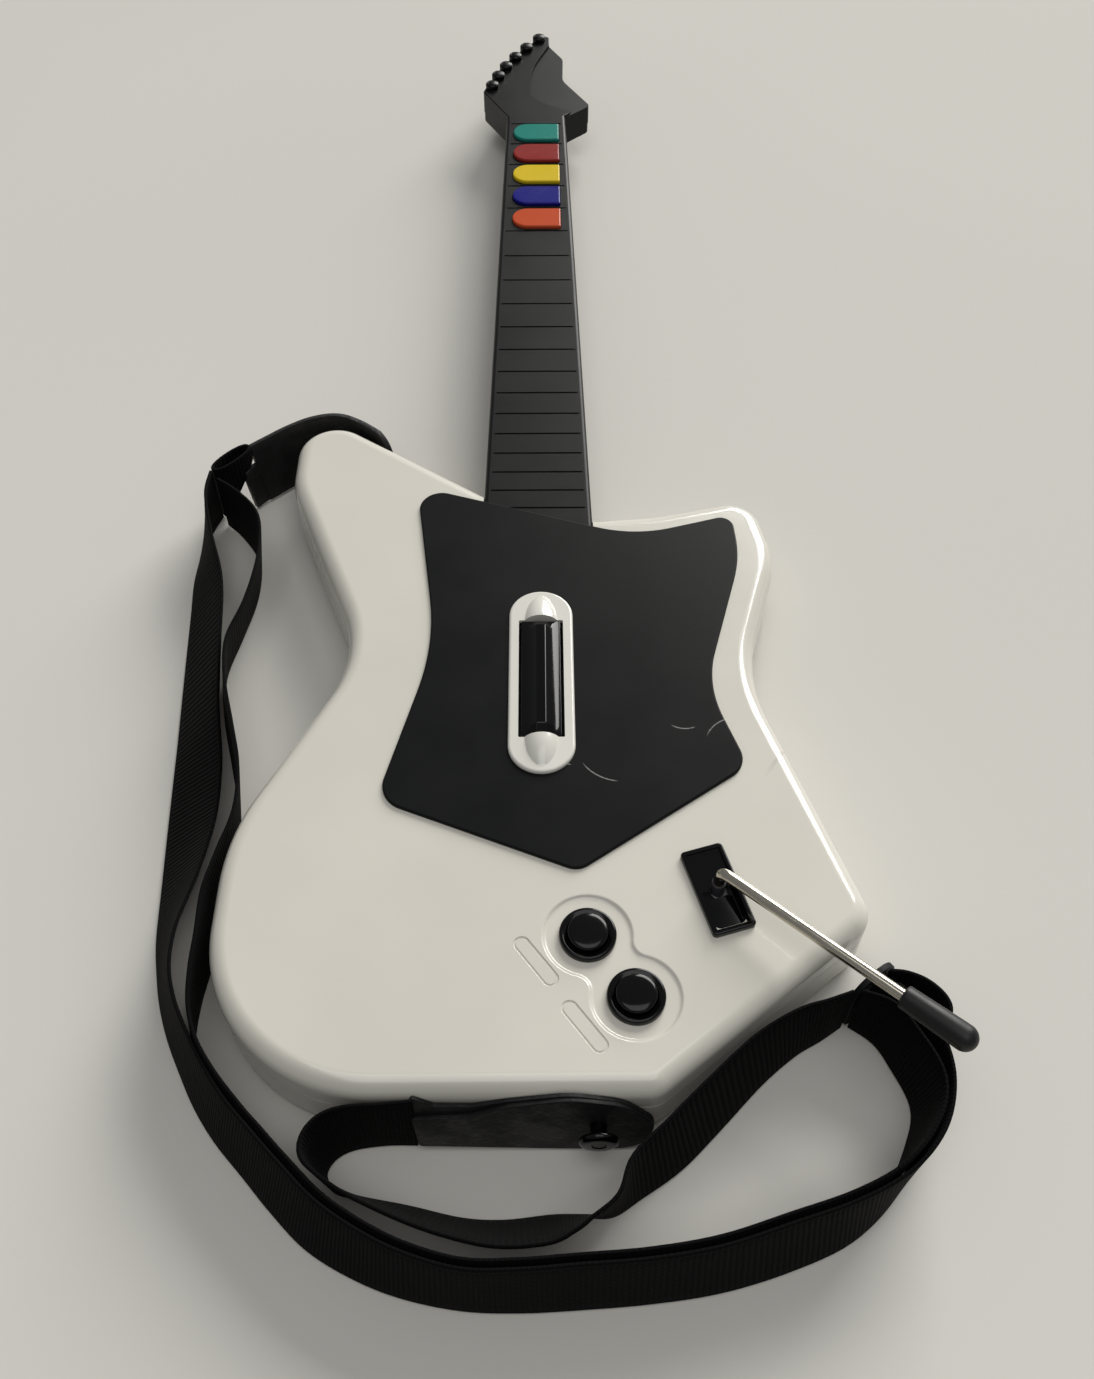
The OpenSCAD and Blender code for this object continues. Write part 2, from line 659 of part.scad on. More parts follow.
module strum_bar() color([0.1, 0.1, 0.11]) {
    at_strum() translate([0, 0, strum_pivot_z]) difference() {
        union() {
            rotate([90, 0, 0]) linear_extrude(strum_bar_l, center = true) polygon(strum_section);
            rotate([90, 0, 0]) cylinder(r = 4.2, h = strum_bar_l, center = true);
            block(-4.2, 4.2, -strum_bar_l / 2, strum_bar_l / 2, 0, 5);
            block(-1.5, 1.5, -22, 22, -4, 0);
            translate([0, 0, paddle_z - strum_pivot_z + paddle_t / 2])
                cube([paddle_w, 44, paddle_t], center = true);
        }
        rotate([90, 0, 0]) cylinder(d = strum_axle_d + 2 * run, h = strum_bar_l + 2 * over, center = true);
        // The ridge runs out at both ends.
        for (side = [-1, 1]) translate([0, side * strum_bar_l / 2, 9]) rotate([side * -38, 0, 0])
            translate([-20, -20, 0]) cube([40, 40, 12]);
    }
}

module strum_axle() color([0.7, 0.7, 0.72]) {
    at_strum() translate([0, 0, strum_pivot_z]) rotate([90, 0, 0])
        cylinder(d = strum_axle_d, h = frame_in_l + 2 * frame_lug - 2, center = true);
}

module strum_frame() color([0.25, 0.25, 0.27]) {
    out_w = frame_in_w + 2 * frame_wall;
    out_l = frame_in_l + 2 * frame_lug;
    at_strum() difference() {
        union() {
            slab(strum_floor_z - strum_floor_t, ceiling_z) square([out_w, out_l], center = true);
            for (y = [-ear_y, ear_y]) slab(strum_floor_z - strum_floor_t, strum_floor_z)
                translate([0, y]) square([2 * ear_x + 6, 7], center = true);
        }
        slab(strum_floor_z, body_t) square([frame_in_w, frame_in_l], center = true);
        translate([0, 0, strum_pivot_z]) rotate([90, 0, 0])
            cylinder(d = strum_axle_d + 0.02, h = out_l + 2 * over, center = true);
        for (x = [-ear_x, ear_x]) for (y = [-ear_y, ear_y])
            post([x, y], screw_d + 0.5, strum_floor_z - strum_floor_t - over, strum_floor_z + over);
    }
}

module frame_screws() color([0.6, 0.6, 0.62]) {
    for (x = [-ear_x, ear_x]) for (y = [-ear_y, ear_y])
        screw([strum_c.x + x, strum_c.y + y], strum_floor_z - strum_floor_t, ceiling_z - 2.5);
}

module strum_switches() color([0.15, 0.15, 0.16]) {
    top = paddle_z - strum_drop - fit;
    at_strum() for (side = [-1, 1]) {
        block(side * 7.5 - 3, side * 7.5 + 3, -10, 10, strum_floor_z, top - 0.5);
        post([side * 7.5, 0], 2, top - 0.6, top);
    }
}

module strum_springs() color([0.75, 0.75, 0.77]) {
    at_strum() for (side = [-1, 1]) translate([side * 7, side * 17, strum_floor_z])
        coil(2, 0.3, paddle_z - strum_floor_z - 0.1, 4);
}

// ---------------------------------------------------------------- round buttons

module round_bezel(place) color([0.1, 0.1, 0.1]) {
    difference() {
        union() {
            post(place, round_bezel_d, dish_z, dish_z + round_bezel_h - 0.8);
            translate([place.x, place.y, dish_z + round_bezel_h - 0.8])
                cylinder(d1 = round_bezel_d, d2 = round_bezel_d - 2, h = 0.8);
            post(place, 2 * (round_tube_r + round_tube_t), round_tube_z, dish_z + 0.1);
        }
        post(place, 2 * round_tube_r, round_tube_z - over, dish_z + round_bezel_h + over);
    }
}

module round_button(place) color([0.08, 0.08, 0.09]) {
    top = body_t + round_proud;
    dome_r = 40;
    post(place, round_d, round_flange_z - 0.2, top - 1);
    intersection() {
        post(place, round_d, top - 1.1, top + 1);
        translate([place.x, place.y, top - dome_r]) sphere(r = dome_r, $fn = 96);
    }
    post(place, round_d + 2.4, round_flange_z - round_flange_t, round_flange_z);
}

module select_bezel() round_bezel(select_c);
module start_bezel() round_bezel(start_c);
module select_button() round_button(select_c);
module start_button() round_button(start_c);

module at_round_board() {
    translate([(select_c.x + start_c.x) / 2, (select_c.y + start_c.y) / 2, 0]) rotate(round_angle) children();
}

module button_pad() color([0.55, 0.56, 0.58]) {
    at_round_board() slab(round_board_z + board_t, round_dome_z - 1)
        square([round_board_l - 4, round_board_w - 4], center = true);
    for (p = [select_c, start_c]) translate([p.x, p.y, round_dome_z - 1.05])
        cylinder(d1 = 12, d2 = 9, h = 1.05);
}

module button_board() color([0.1, 0.35, 0.2]) {
    at_round_board() slab(round_board_z, round_board_z + board_t)
        square([round_board_l, round_board_w], center = true);
}

// ---------------------------------------------------------------- whammy bar

module whammy_escutcheon() color([0.11, 0.11, 0.12]) {
    top = body_t + esc_flange_t;
    at_whammy() difference() {
        union() {
            slab(body_t, top - 0.8) round_rect(esc_w, esc_l, 4);
            slab(top - 0.9, top) round_rect(esc_w - 1.6, esc_l - 1.6, 3.2);
            slab(ceiling_z, body_t + 0.1) round_rect(esc_tray_w, esc_tray_l, 3);
        }
        // The deep half, towards the tail.
        slab(body_t - 1, top + over) intersection() {
            round_rect(esc_tray_w - 0.6, esc_tray_l - 2, 2.4);
            translate([-esc_w, -esc_l]) square([2 * esc_w, esc_l]);
        }
        // The sloping half, towards the neck.
        intersection() {
            slab(body_t, top + over) round_rect(esc_tray_w - 0.6, esc_tray_l - 2, 2.4);
            translate([-esc_w / 2, -0.1, body_t]) rotate([4, 0, 0]) cube([esc_w, esc_l, 10]);
        }
        // The slot that the post swings in.
        translate([post_c.x, post_c.y - slot_run / 2, 0]) slab(ceiling_z - over, top + over)
            stadium(2 * ferrule_r + 1, 2 * ferrule_r + 1 + slot_run);
    }
}

module whammy_carrier() color([0.3, 0.3, 0.32]) {
    at_post() difference() {
        union() {
            post([0, 0], 2 * carrier_r, carrier_bottom_z, carrier_top_z);
            block(-4, 4, -foot_l - 2, 0, carrier_bottom_z, carrier_bottom_z + 3);
        }
        post([0, 0], 2 * (rod_d / 2 + run), rod_bottom_z - run, carrier_top_z + over);
        post([0, 0], 2 * ferrule_r, ferrule_z, carrier_top_z + over);
        translate([-carrier_r - over, 0, whammy_pin_z]) rotate([0, 90, 0])
            cylinder(d = whammy_pin_d + 2 * run, h = 2 * (carrier_r + over));
    }
}

module whammy_pin() color([0.7, 0.7, 0.72]) {
    at_post() translate([-lug_x - lug_t, 0, whammy_pin_z]) rotate([0, 90, 0])
        cylinder(d = whammy_pin_d, h = 2 * (lug_x + lug_t));
}

module whammy_ferrule() color([0.12, 0.12, 0.13]) {
    at_post() difference() {
        post([0, 0], 2 * ferrule_r, ferrule_z, ferrule_z + ferrule_h);
        post([0, 0], 2 * (rod_d / 2 + run), ferrule_z - over, ferrule_z + ferrule_h + over);
    }
}

// Points of the rod's middle line past the elbow: along is the distance out from the post.
module along_arm(distance) {
    at_post() rotate(arm_turn) translate([0, 0, elbow_z]) rotate([0, -arm_rise, 0])
        translate([distance, 0, 0]) rotate([0, 90, 0]) children();
}

module whammy_rod() color([0.72, 0.69, 0.62]) {
    at_post() {
        post([0, 0], rod_d, rod_bottom_z, elbow_z);
        translate([0, 0, elbow_z]) sphere(d = rod_d, $fn = 48);
    }
    along_arm(0) cylinder(d = rod_d, h = rod_reach + grip_depth);
}

module whammy_grip() color([0.09, 0.09, 0.09]) {
    l = arm_reach - rod_reach;
    r = grip_d / 2;
    along_arm(rod_reach) difference() {
        union() {
            cylinder(r1 = r - 1.2, r2 = r, h = 3);
            translate([0, 0, 3]) cylinder(r = r, h = l - r - 3);
            translate([0, 0, l - r]) sphere(r = r, $fn = 48);
        }
        translate([0, 0, -over]) cylinder(d = rod_d + 0.02, h = grip_depth + 0.2 + over);
    }
}

module whammy_spring() color([0.75, 0.75, 0.77]) {
    at_post() translate([0, -foot_l + 1, spring_z]) coil(2.6, 0.4, carrier_bottom_z - spring_z - 0.1, 5);
}

module whammy_sensor() color([0.2, 0.25, 0.5]) {
    at_post() translate([lug_x + lug_t, 0, whammy_pin_z]) rotate([0, 90, 0]) cylinder(d = 11, h = 4);
}

// ---------------------------------------------------------------- boards and batteries

module main_board() color([0.1, 0.35, 0.2]) {
    slab(main_board_z, main_board_z + board_t) translate(main_board_c) square(main_board_size, center = true);
    translate([main_board_c.x, main_board_c.y, 0]) {
        slab(main_board_z + board_t - 0.1, main_board_z + board_t + 1.4)
            translate([6, -8]) square([chip_w, chip_w], center = true);
        slab(main_board_z + board_t - 0.1, main_board_z + board_t + 5)
            translate(main_board_size / 2 - [6, 12]) square([6, chip_w], center = true);
    }
}

module radio_module() color([0.75, 0.75, 0.76]) {
    slab(main_board_z + board_t, main_board_z + board_t + 2.4)
        translate(main_board_c + [16, -16] + [-main_board_size.x, main_board_size.y] / 2)
            square([22, 16], center = true);
}

module tilt_sensor() color([0.15, 0.15, 0.16]) {
    slab(main_board_z + board_t, main_board_z + board_t + 5)
        translate(main_board_c + [12, 16] - main_board_size / 2) square([9, 9], center = true);
}

module battery_door() color([0.9, 0.89, 0.85]) {
    translate([bay_c.x, bay_c.y, 0]) difference() {
        slab(0, door_t) square([door_w, door_l], center = true);
        slab(-over, 0.8) translate([0, door_l / 2 - 8]) stadium(9, 16);
    }
}

module battery_cells() color([0.35, 0.33, 0.3]) {
    for (k = [0:3]) translate([bay_c.x - cell_l / 2, bay_c.y + (k - 1.5) * cell_pitch, door_t + 0.4 + cell_d / 2])
        rotate([0, 90, 0]) cylinder(d = cell_d, h = cell_l);
}

module battery_contacts() color([0.8, 0.78, 0.72]) {
    in_w = door_w - 2 * bay_ledge;
    stub = (in_w - cell_l) / 2 - fit;
    for (k = [0:3]) for (side = [-1, 1]) translate([bay_c.x, bay_c.y + (k - 1.5) * cell_pitch, 0]) {
        translate([side * (in_w / 2 - 0.25), 0, door_t + 0.4 + cell_d / 2]) cube([0.5, 11, 11], center = true);
        translate([side * (in_w / 2 - stub / 2), 0, door_t + 0.4 + cell_d / 2]) rotate([0, 90, 0])
            cylinder(r = 2.5, h = stub, center = true);
    }
}

module power_switch() color([0.12, 0.12, 0.13]) {
    translate([switch_c.x - switch_travel / 2, switch_c.y, 0]) {
        block(-knob_l / 2, knob_l / 2, -4, 4, 0.4, switch_recess - fit);
        block(-1.3, 1.3, -1.3, 1.3, switch_recess - fit - 0.1, 6);
    }
}

module switch_body() color([0.6, 0.6, 0.62]) {
    z = switch_recess + wall;
    translate([switch_c.x, switch_c.y, 0]) difference() {
        block(-8, 8, -5, 5, z, z + 5);
        block(-1.6 - switch_travel / 2, 1.6 + switch_travel / 2, -1.6, 1.6, z - over, 6 + fit);
    }
}

// ---------------------------------------------------------------- neck

// Rings across the neck, seen from the headstock: the front half and the rounded back half.
function quarter(c, r, from) = [for (a = [0:15:90]) c + r * [cos(from + a), sin(from + a)]];
function front_ring(y, in, top) =
    let (w = neck_half(y) - in, r = neck_round)
    [for (p = concat([[w, neck_part_z]], quarter([w - r, top - r], r, 0),
        quarter([r - w, top - r], r, 90), [[-w, neck_part_z]])) [-p.x, y, p.y]];
function back_ring(y, in) =
    let (w = neck_half(y) - in, r = neck_part_z - neck_z - in, z = neck_z + in)
    [for (p = concat([[w, neck_part_z], [-w, neck_part_z]], quarter([r - w, z + r], r, 180),
        quarter([w - r, z + r], r, 270))) [-p.x, y, p.y]];

module fret_plan(y, grow) {
    r = fret_l / 2;
    translate([-fret_w / 2 + r, y]) circle(r = r + grow, $fn = 64);
    translate([-fret_w / 2 + r, y - r - grow]) square([fret_w - r + grow, fret_l + 2 * grow]);
}

module grooves() {
    ys = concat([for (n = [0:13]) scale_end_y + scale_l * pow(2, -n / 12)],
        [for (k = [1:5]) fret_first_y + fret_pitch * (k - 0.5)]);
    for (y = ys) let (w = neck_half(y) - 3.7)
        block(-w, w, y - groove_w / 2, y + groove_w / 2, body_t - groove_d, body_t + over);
}

peg_places = [for (k = [0:5]) let (t = k / 5)
    [-33 + 35.6 * t - 17 * t * (1 - t), nut_y + 41 + 70.2 * t]];
peg_d = 10;
peg_z = neck_part_z + 2;

// The neck's hollow front half and the headstock's front.
module neck_front_skin() {
    difference() {
        loft([front_ring(heel_y, 0, body_t), front_ring(nut_y, 0, body_t)]);
        slab(neck_part_z - over, ceiling_z) neck_plan(heel_y - over, nut_y - 6, -wall);
    }
    difference() {
        slab(neck_part_z, body_t) polygon(inset2(head_outline));
        slab(neck_part_z - over, body_t - 6) polygon(inset2(head_hollow));
    }
}

module neck_front() color([0.17, 0.17, 0.17]) {
    difference() {
        union() {
            neck_front_skin();
            for (p = neck_screw_places) post(p, boss_d, neck_part_z, ceiling_z + 0.5);
        }
        for (p = neck_screw_places) post(p, screw_d + 0.2, neck_part_z - over, neck_part_z + 9);
        for (k = [0:4]) slab(ceiling_z - over, body_t + over) fret_plan(fret_first_y + k * fret_pitch, 0.4);
        grooves();
        // The scoop beside the tuning pegs slopes down to the right.
        intersection() {
            slab(body_t - 8, body_t + over) polygon([[60, nut_y + 112], [11, nut_y + 103.5], [5, nut_y + 95],
                [-0.5, nut_y + 77], [-3.7, nut_y + 54], [-5, nut_y + 39], [-2, nut_y + 26], [4.5, nut_y + 17.5],
                [12, nut_y + 12.5], [25, nut_y + 5.5], [36, nut_y - 0.5], [60, nut_y]]);
            translate([-10, nut_y - 4, body_t - 0.8]) rotate([0, 1.5, 0]) cube([90, 134, 20]);
        }
        for (p = peg_places) post(p, peg_d + 0.3, peg_z, body_t + over);
    }
}

// Rails that carry the fret board.
module fret_rails(z0, z1) {
    for (x = [-13, 11]) block(x, x + 2, fret_first_y - 8, fret_first_y + 4 * fret_pitch + 8, z0, z1);
}

module neck_back() color([0.16, 0.16, 0.16]) {
    difference() {
        union() {
            difference() {
                loft([back_ring(heel_y, 0), back_ring(nut_y, 0)]);
                loft([for (y = [heel_y - over, nut_y - 6])
                    [for (p = back_ring(y, wall)) [p.x, y, p.z + (p.z > neck_part_z - 0.1 ? over : 0)]]]);
            }
            slab(head_back_z, neck_part_z) polygon(inset2(head_outline, 1.5));
            for (p = concat(heel_screws, neck_screw_places)) post(p, boss_d + 1, neck_z + 1, neck_part_z);
            fret_rails(neck_z + wall - 0.2, fret_board_z);
        }
        for (p = heel_screws) post(p, screw_d + 0.2, neck_z - over, neck_part_z - 3.5);
        for (p = neck_screw_places) {
            post(p, screw_head_d + 0.8, 0, neck_z + 4);
            post(p, screw_d + 0.5, neck_z, neck_part_z + over);
        }
    }
}

module neck_screws() color([0.2, 0.2, 0.21]) {
    for (p = heel_screws) screw(p, screw_seat_z, neck_part_z - 4.5);
    for (p = neck_screw_places) screw(p, neck_z + 4, neck_part_z + 7);
}

module fret_button(k, tone) color(tone) {
    y = fret_first_y + k * fret_pitch;
    slab(fret_flange_z - 0.2, body_t + fret_proud - 0.5) fret_plan(y, 0);
    slab(body_t + fret_proud - 0.6, body_t + fret_proud) fret_plan(y, -0.5);
    slab(fret_flange_z - fret_flange_t, fret_flange_z) fret_plan(y, fret_lip);
}

module orange_fret_button() fret_button(0, [0.75, 0.31, 0.2]);
module blue_fret_button() fret_button(1, [0.14, 0.12, 0.55]);
module yellow_fret_button() fret_button(2, [0.83, 0.73, 0.2]);
module red_fret_button() fret_button(3, [0.57, 0.2, 0.2]);
module green_fret_button() fret_button(4, [0.2, 0.51, 0.45]);

module fret_pad() color([0.5, 0.5, 0.52]) {
    z = fret_board_z + board_t;
    fret_mid_y = fret_first_y + 2 * fret_pitch;
    translate([0, fret_mid_y, z + pad_t / 2]) cube([fret_board_w - 4, fret_board_l - 4, pad_t], center = true);
    for (k = [0:4]) translate([0, fret_first_y + k * fret_pitch, z + pad_t - 0.1])
        cylinder(d1 = dome_d + 3, d2 = dome_d, h = pad_dome_z - z - pad_t + 0.1);
}

module fret_board() color([0.1, 0.35, 0.2]) {
    translate([0, fret_first_y + 2 * fret_pitch, fret_board_z + board_t / 2])
        cube([fret_board_w, fret_board_l, board_t], center = true);
}

// The cable runs from the fret board down the neck to the main board.
cable_route = [
    [cable_x, fret_first_y - 13.3, 28], [cable_x, 370, 27.5], [cable_x, 340, 27], [cable_x, 300, 27],
    [cable_x, 240, 27], [cable_x, 180, 27.5], [cable_x, 130, 28], [cable_x, 104, 28], [cable_x, 92, 28],
    [-10, 82, 26.5], [-15, 72, 23], [-23, 60, 18.5], [-29, 46, 17], [-33, 40.5, 17]];

module neck_cable() color([0.12, 0.12, 0.12]) {
    wire(cable_route, 1.6, 8);
}

module tuning_pegs() color([0.08, 0.08, 0.08]) {
    for (p = peg_places) {
        post(p, peg_d, peg_z, body_t - 0.2);
        translate([p.x, p.y, body_t - 0.3]) cylinder(d1 = peg_d, d2 = peg_d - 2, h = 0.8);
    }
}

// ---------------------------------------------------------------- strap

// A turned button: foot, waist and flange, with a recess for its screw's head.
module strap_button() color([0.07, 0.07, 0.07]) {
    difference() {
        union() {
            cylinder(r = strap_post_r + 0.5, h = 2);
            cylinder(r = strap_post_r, h = strap_button_l - 1);
            translate([0, 0, strap_button_l - strap_flange_t - 1.5])
                cylinder(r1 = strap_post_r, r2 = strap_button_d / 2, h = 1.5);
            translate([0, 0, strap_button_l - strap_flange_t])
                cylinder(d = strap_button_d, h = strap_flange_t - 1);
            translate([0, 0, strap_button_l - 1])
                cylinder(r1 = strap_button_d / 2, r2 = strap_button_d / 2 - 1.5, h = 1);
        }
        translate([0, 0, strap_button_l - head_h]) cylinder(d = screw_head_d + 0.6, h = head_h + over);
        translate([0, 0, -over]) cylinder(d = screw_d + 0.5, h = strap_button_l + 2 * over);
    }
}

module strap_button_upper() at_upper_button() strap_button();
module strap_button_lower() at_lower_button() strap_button();

module strap_button_screw() {
    translate([0, 0, strap_button_l - head_h]) cylinder(d = screw_head_d, h = head_h - 0.3);
    translate([0, 0, -strap_boss_l + 1]) cylinder(d = screw_d, h = strap_button_l + strap_boss_l - 2);
}

module strap_button_screws() color([0.6, 0.6, 0.62]) {
    at_upper_button() strap_button_screw();
    at_lower_button() strap_button_screw();
}

module strap_tab_upper() color([0.08, 0.08, 0.08]) {
    difference() {
        standing_strip(smooth(tab_upper_route, 3), webbing_w - 1, 2 * leather_t, 0.5);
        at_upper_button() {
            cylinder(r = strap_hole_r, h = strap_button_l);
            // Its end is round about the button.
            difference() {
                translate([-webbing_w, -2 * webbing_w, -strap_button_l])
                    cube([2 * webbing_w, 2 * webbing_w, 3 * strap_button_l]);
                translate([0, 0, -2 * strap_button_l])
                    cylinder(d = webbing_w - 1, h = 5 * strap_button_l, $fn = 72);
            }
        }
    }
}

// The lower tab leans on the wall: a long tongue with a round end, in two layers.
tab_end_x = 46;
tab_end_r = 18;
tab_waist_x = 10;
tab_waist_r = 60;
tab_tongue_x = -52;
tab_tongue_rise = 3;
tab_h = 39;
tab_outline = rounded([
    [tab_tongue_x, tab_tongue_rise, 2], [tab_waist_x, 0, tab_waist_r], [tab_end_x, 0, tab_end_r],
    [tab_end_x, tab_h, tab_end_r], [tab_waist_x, tab_h, tab_waist_r], [tab_tongue_x, tab_h - 5, 2]]);

module strap_tab_lower() color([0.08, 0.08, 0.08]) {
    rim_z = body_t - front_round;
    difference() {
        translate([0, tail_y - fit - 0.1 - rim_z * tan(tab_lean), floor_gap]) rotate([90 - tab_lean, 0, 0]) {
            linear_extrude(leather_t) polygon(inset2(tab_outline));
            translate([0, 0, leather_t]) linear_extrude(leather_t) polygon(inset2(tab_outline, 0.4));
        }
        at_lower_button() cylinder(r = strap_hole_r, h = strap_button_l);
    }
}

// The webbing's folded end, which the upper tab holds.
module strap_loop() color([0.1, 0.1, 0.1]) {
    translate([loop_c.x, loop_c.y, floor_gap]) rotate(loop_turn - 90) linear_extrude(webbing_w) difference() {
        stadium(loop_size.y, loop_size.x);
        stadium(loop_size.y - 2 * webbing_t, loop_size.x - 2 * webbing_t);
    }
}

module webbing(route) color([0.1, 0.1, 0.1]) {
    standing_strip(smooth(route, webbing_steps), webbing_w, webbing_t);
}

module strap_webbing_single() webbing(single_route);
module strap_webbing_inner() webbing(inner_route);
module strap_webbing_outer() webbing(outer_route);

module strap_slider() color([0.08, 0.08, 0.08]) {
    translate([slider_c.x, slider_c.y, floor_gap]) rotate(slider_turn) difference() {
        translate([-slider_size.x / 2, -slider_size.y / 2, 0]) cube(slider_size);
        for (side = [-1, 1]) block(side * 5.5 - 2.6, side * 5.5 + 2.6, -slider_size.y, slider_size.y, 2, slider_size.z - 2);
    }
}

// ---------------------------------------------------------------- choice of node

front_shell();
back_shell();
pickguard();
strum_bezel();
strum_bar();
strum_axle();
strum_frame();
strum_switches();
strum_springs();
frame_screws();
select_bezel();
start_bezel();
select_button();
start_button();
button_pad();
button_board();
whammy_escutcheon();
whammy_carrier();
whammy_pin();
whammy_ferrule();
whammy_rod();
whammy_grip();
whammy_spring();
whammy_sensor();
main_board();
radio_module();
tilt_sensor();
battery_door();
battery_cells();
battery_contacts();
power_switch();
switch_body();
body_screws();
neck_front();
neck_back();
green_fret_button();
red_fret_button();
yellow_fret_button();
blue_fret_button();
orange_fret_button();
fret_pad();
fret_board();
neck_screws();
neck_cable();
tuning_pegs();
strap_button_upper();
strap_button_lower();
strap_button_screws();
strap_tab_upper();
strap_tab_lower();
strap_loop();
strap_webbing_single();
strap_webbing_inner();
strap_webbing_outer();
strap_slider();
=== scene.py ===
"""Looks of a toy electric guitar: body, pickguard, neck, controls and strap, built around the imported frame."""
import json
import logging
import math
from dataclasses import dataclass, field
from enum import Enum
from typing import Callable, Iterable, Optional, Sequence

import bmesh
import bpy
from mathutils import Matrix, Vector

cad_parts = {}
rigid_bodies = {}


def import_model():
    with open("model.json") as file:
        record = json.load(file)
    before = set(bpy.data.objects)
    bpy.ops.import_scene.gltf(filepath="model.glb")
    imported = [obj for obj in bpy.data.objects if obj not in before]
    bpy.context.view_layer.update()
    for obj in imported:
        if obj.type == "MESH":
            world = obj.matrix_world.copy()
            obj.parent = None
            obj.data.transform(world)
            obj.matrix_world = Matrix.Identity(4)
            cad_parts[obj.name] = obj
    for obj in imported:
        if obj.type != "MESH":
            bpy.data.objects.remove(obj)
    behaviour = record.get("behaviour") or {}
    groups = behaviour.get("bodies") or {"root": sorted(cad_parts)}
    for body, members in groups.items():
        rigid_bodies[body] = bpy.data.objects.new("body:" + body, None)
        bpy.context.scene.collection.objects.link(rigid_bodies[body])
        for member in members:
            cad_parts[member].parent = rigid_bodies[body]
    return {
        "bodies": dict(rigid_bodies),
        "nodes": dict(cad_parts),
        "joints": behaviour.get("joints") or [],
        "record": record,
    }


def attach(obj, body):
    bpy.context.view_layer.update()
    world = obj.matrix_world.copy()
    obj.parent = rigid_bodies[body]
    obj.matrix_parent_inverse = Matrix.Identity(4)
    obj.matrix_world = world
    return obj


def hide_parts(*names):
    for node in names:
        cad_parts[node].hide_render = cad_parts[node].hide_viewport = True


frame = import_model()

LOG = logging.getLogger("guitar")
MM = 0.001
NIL = 1e-6
Colour = tuple[float, float, float]
Corner = tuple[float, float, float]
Edge = tuple[float, float, float, float]

# ------------------------------------------------------ sizes shared with the solids, in millimetres
BODY_T, PART_Z, WALL = 42.0, 24.0, 2.5
FRONT_ROUND, BACK_ROUND = 9.0, 4.5
TAIL_Y, LEFT_X, RIGHT_X, HORN_Y = -210.5, -148.0, 151.5, 214.0
CEILING_Z, GUARD_Z, BEZEL_Z = 39.5, 44.0, 46.0
NUT_W, NUT_Y, HEEL_Y, NECK_Z, NECK_PART_Z = 43.2, 531.5, 105.0, 16.0, 26.0
NECK_SLOPE = 8.65 / 411.5
STRUM_C, STRUM_PIVOT_Z = (1.5, 1.6), 36.5
SELECT_C, START_C = (21.4, -139.6), (41.5, -168.9)
DISH_R, DISH_Z = 20.0, 40.7
WHAMMY_C, WHAMMY_TURN = (80.4, -118.0), 16.5
POST = (80.876, -116.086)
ELBOW_Z, ARM_TURN, ARM_RISE = 56.0, -42.8, 5.3
ROD_D, ROD_REACH, ARM_REACH, GRIP_D = 5.3, 94.0, 128.0, 11.5
FRET_FIRST_Y, FRET_PITCH, FRET_W, FRET_L = 399.5, 26.7, 33.0, 21.0
STRAP_Z = 20.0
UPPER_BUTTON, UPPER_TURN = (-103.936, 189.317), math.degrees(math.atan2(0.821516, 0.570185))
LOWER_BUTTON_X = 24.5
BAY_C, KNOB_C = (-24.0, -95.0), (60.0, -60.0)
LABELS, LABEL_TURN = ((-1.5, -152), (19, -182.2)), 37.0
WELLS = ((-118, 172), (-86, 30), (-128, -110), (-95, -180), (0, -196), (96, -154), (97, 5), (107, 112),
         (-14, 113), (14, 113), (-14, 127), (14, 127))
NECK_WELLS = ((10, 190), (10, 290), (10, 372), (0, NUT_Y + 20))
YARN: Colour = (0.0012, 0.0012, 0.0013)
FOLD_L, FOLD_CLOTH = 66.0, 0.00135
WEBBING_W, WEBBING_T, FLOOR_GAP = 38.0, 1.8, 0.3
BODY_CORNERS: list[Corner] = [
    (LEFT_X, TAIL_Y, 78), (50, TAIL_Y, 14), (RIGHT_X, -131, 16), (106, 8, 90), (130, 88, 60), (121, 134, 18),
    (66, 121, 80), (32, 118, 6), (-30, 138, 6), (-139.5, HORN_Y, 22), (-140, 145, 60), (-92, 23, 70),
    (LEFT_X + 1, -85, 110)]
GUARD_CORNERS: list[Corner] = [
    (18, -108, 10), (101, -51, 13), (84.5, -2, 70), (109.5, 85, 90), (107.5, 116.5, 7), (53, 101, 70),
    (-68, 140, 12), (-53, 25, 160), (-77, -69, 14)]
HEAD_CORNERS: list[Corner] = [
    (NUT_W / 2 - 3.7, NUT_Y - 3.5, 2), (40.5, NUT_Y + 17, 4), (20, NUT_Y + 52.5, 20), (21, NUT_Y + 83.5, 12),
    (10.5, NUT_Y + 102.5, 5), (10.5, NUT_Y + 115.5, 2.5), (4, NUT_Y + 115.5, 2), (-23, NUT_Y + 77.5, 100),
    (-40, NUT_Y + 33.5, 4), (2 - NUT_W / 2, NUT_Y - 3.5, 2)]


# ------------------------------------------------------------------ outlines

def unit(v: Vector) -> Vector:
    """A vector of the same direction and length one."""
    return v.normalized()


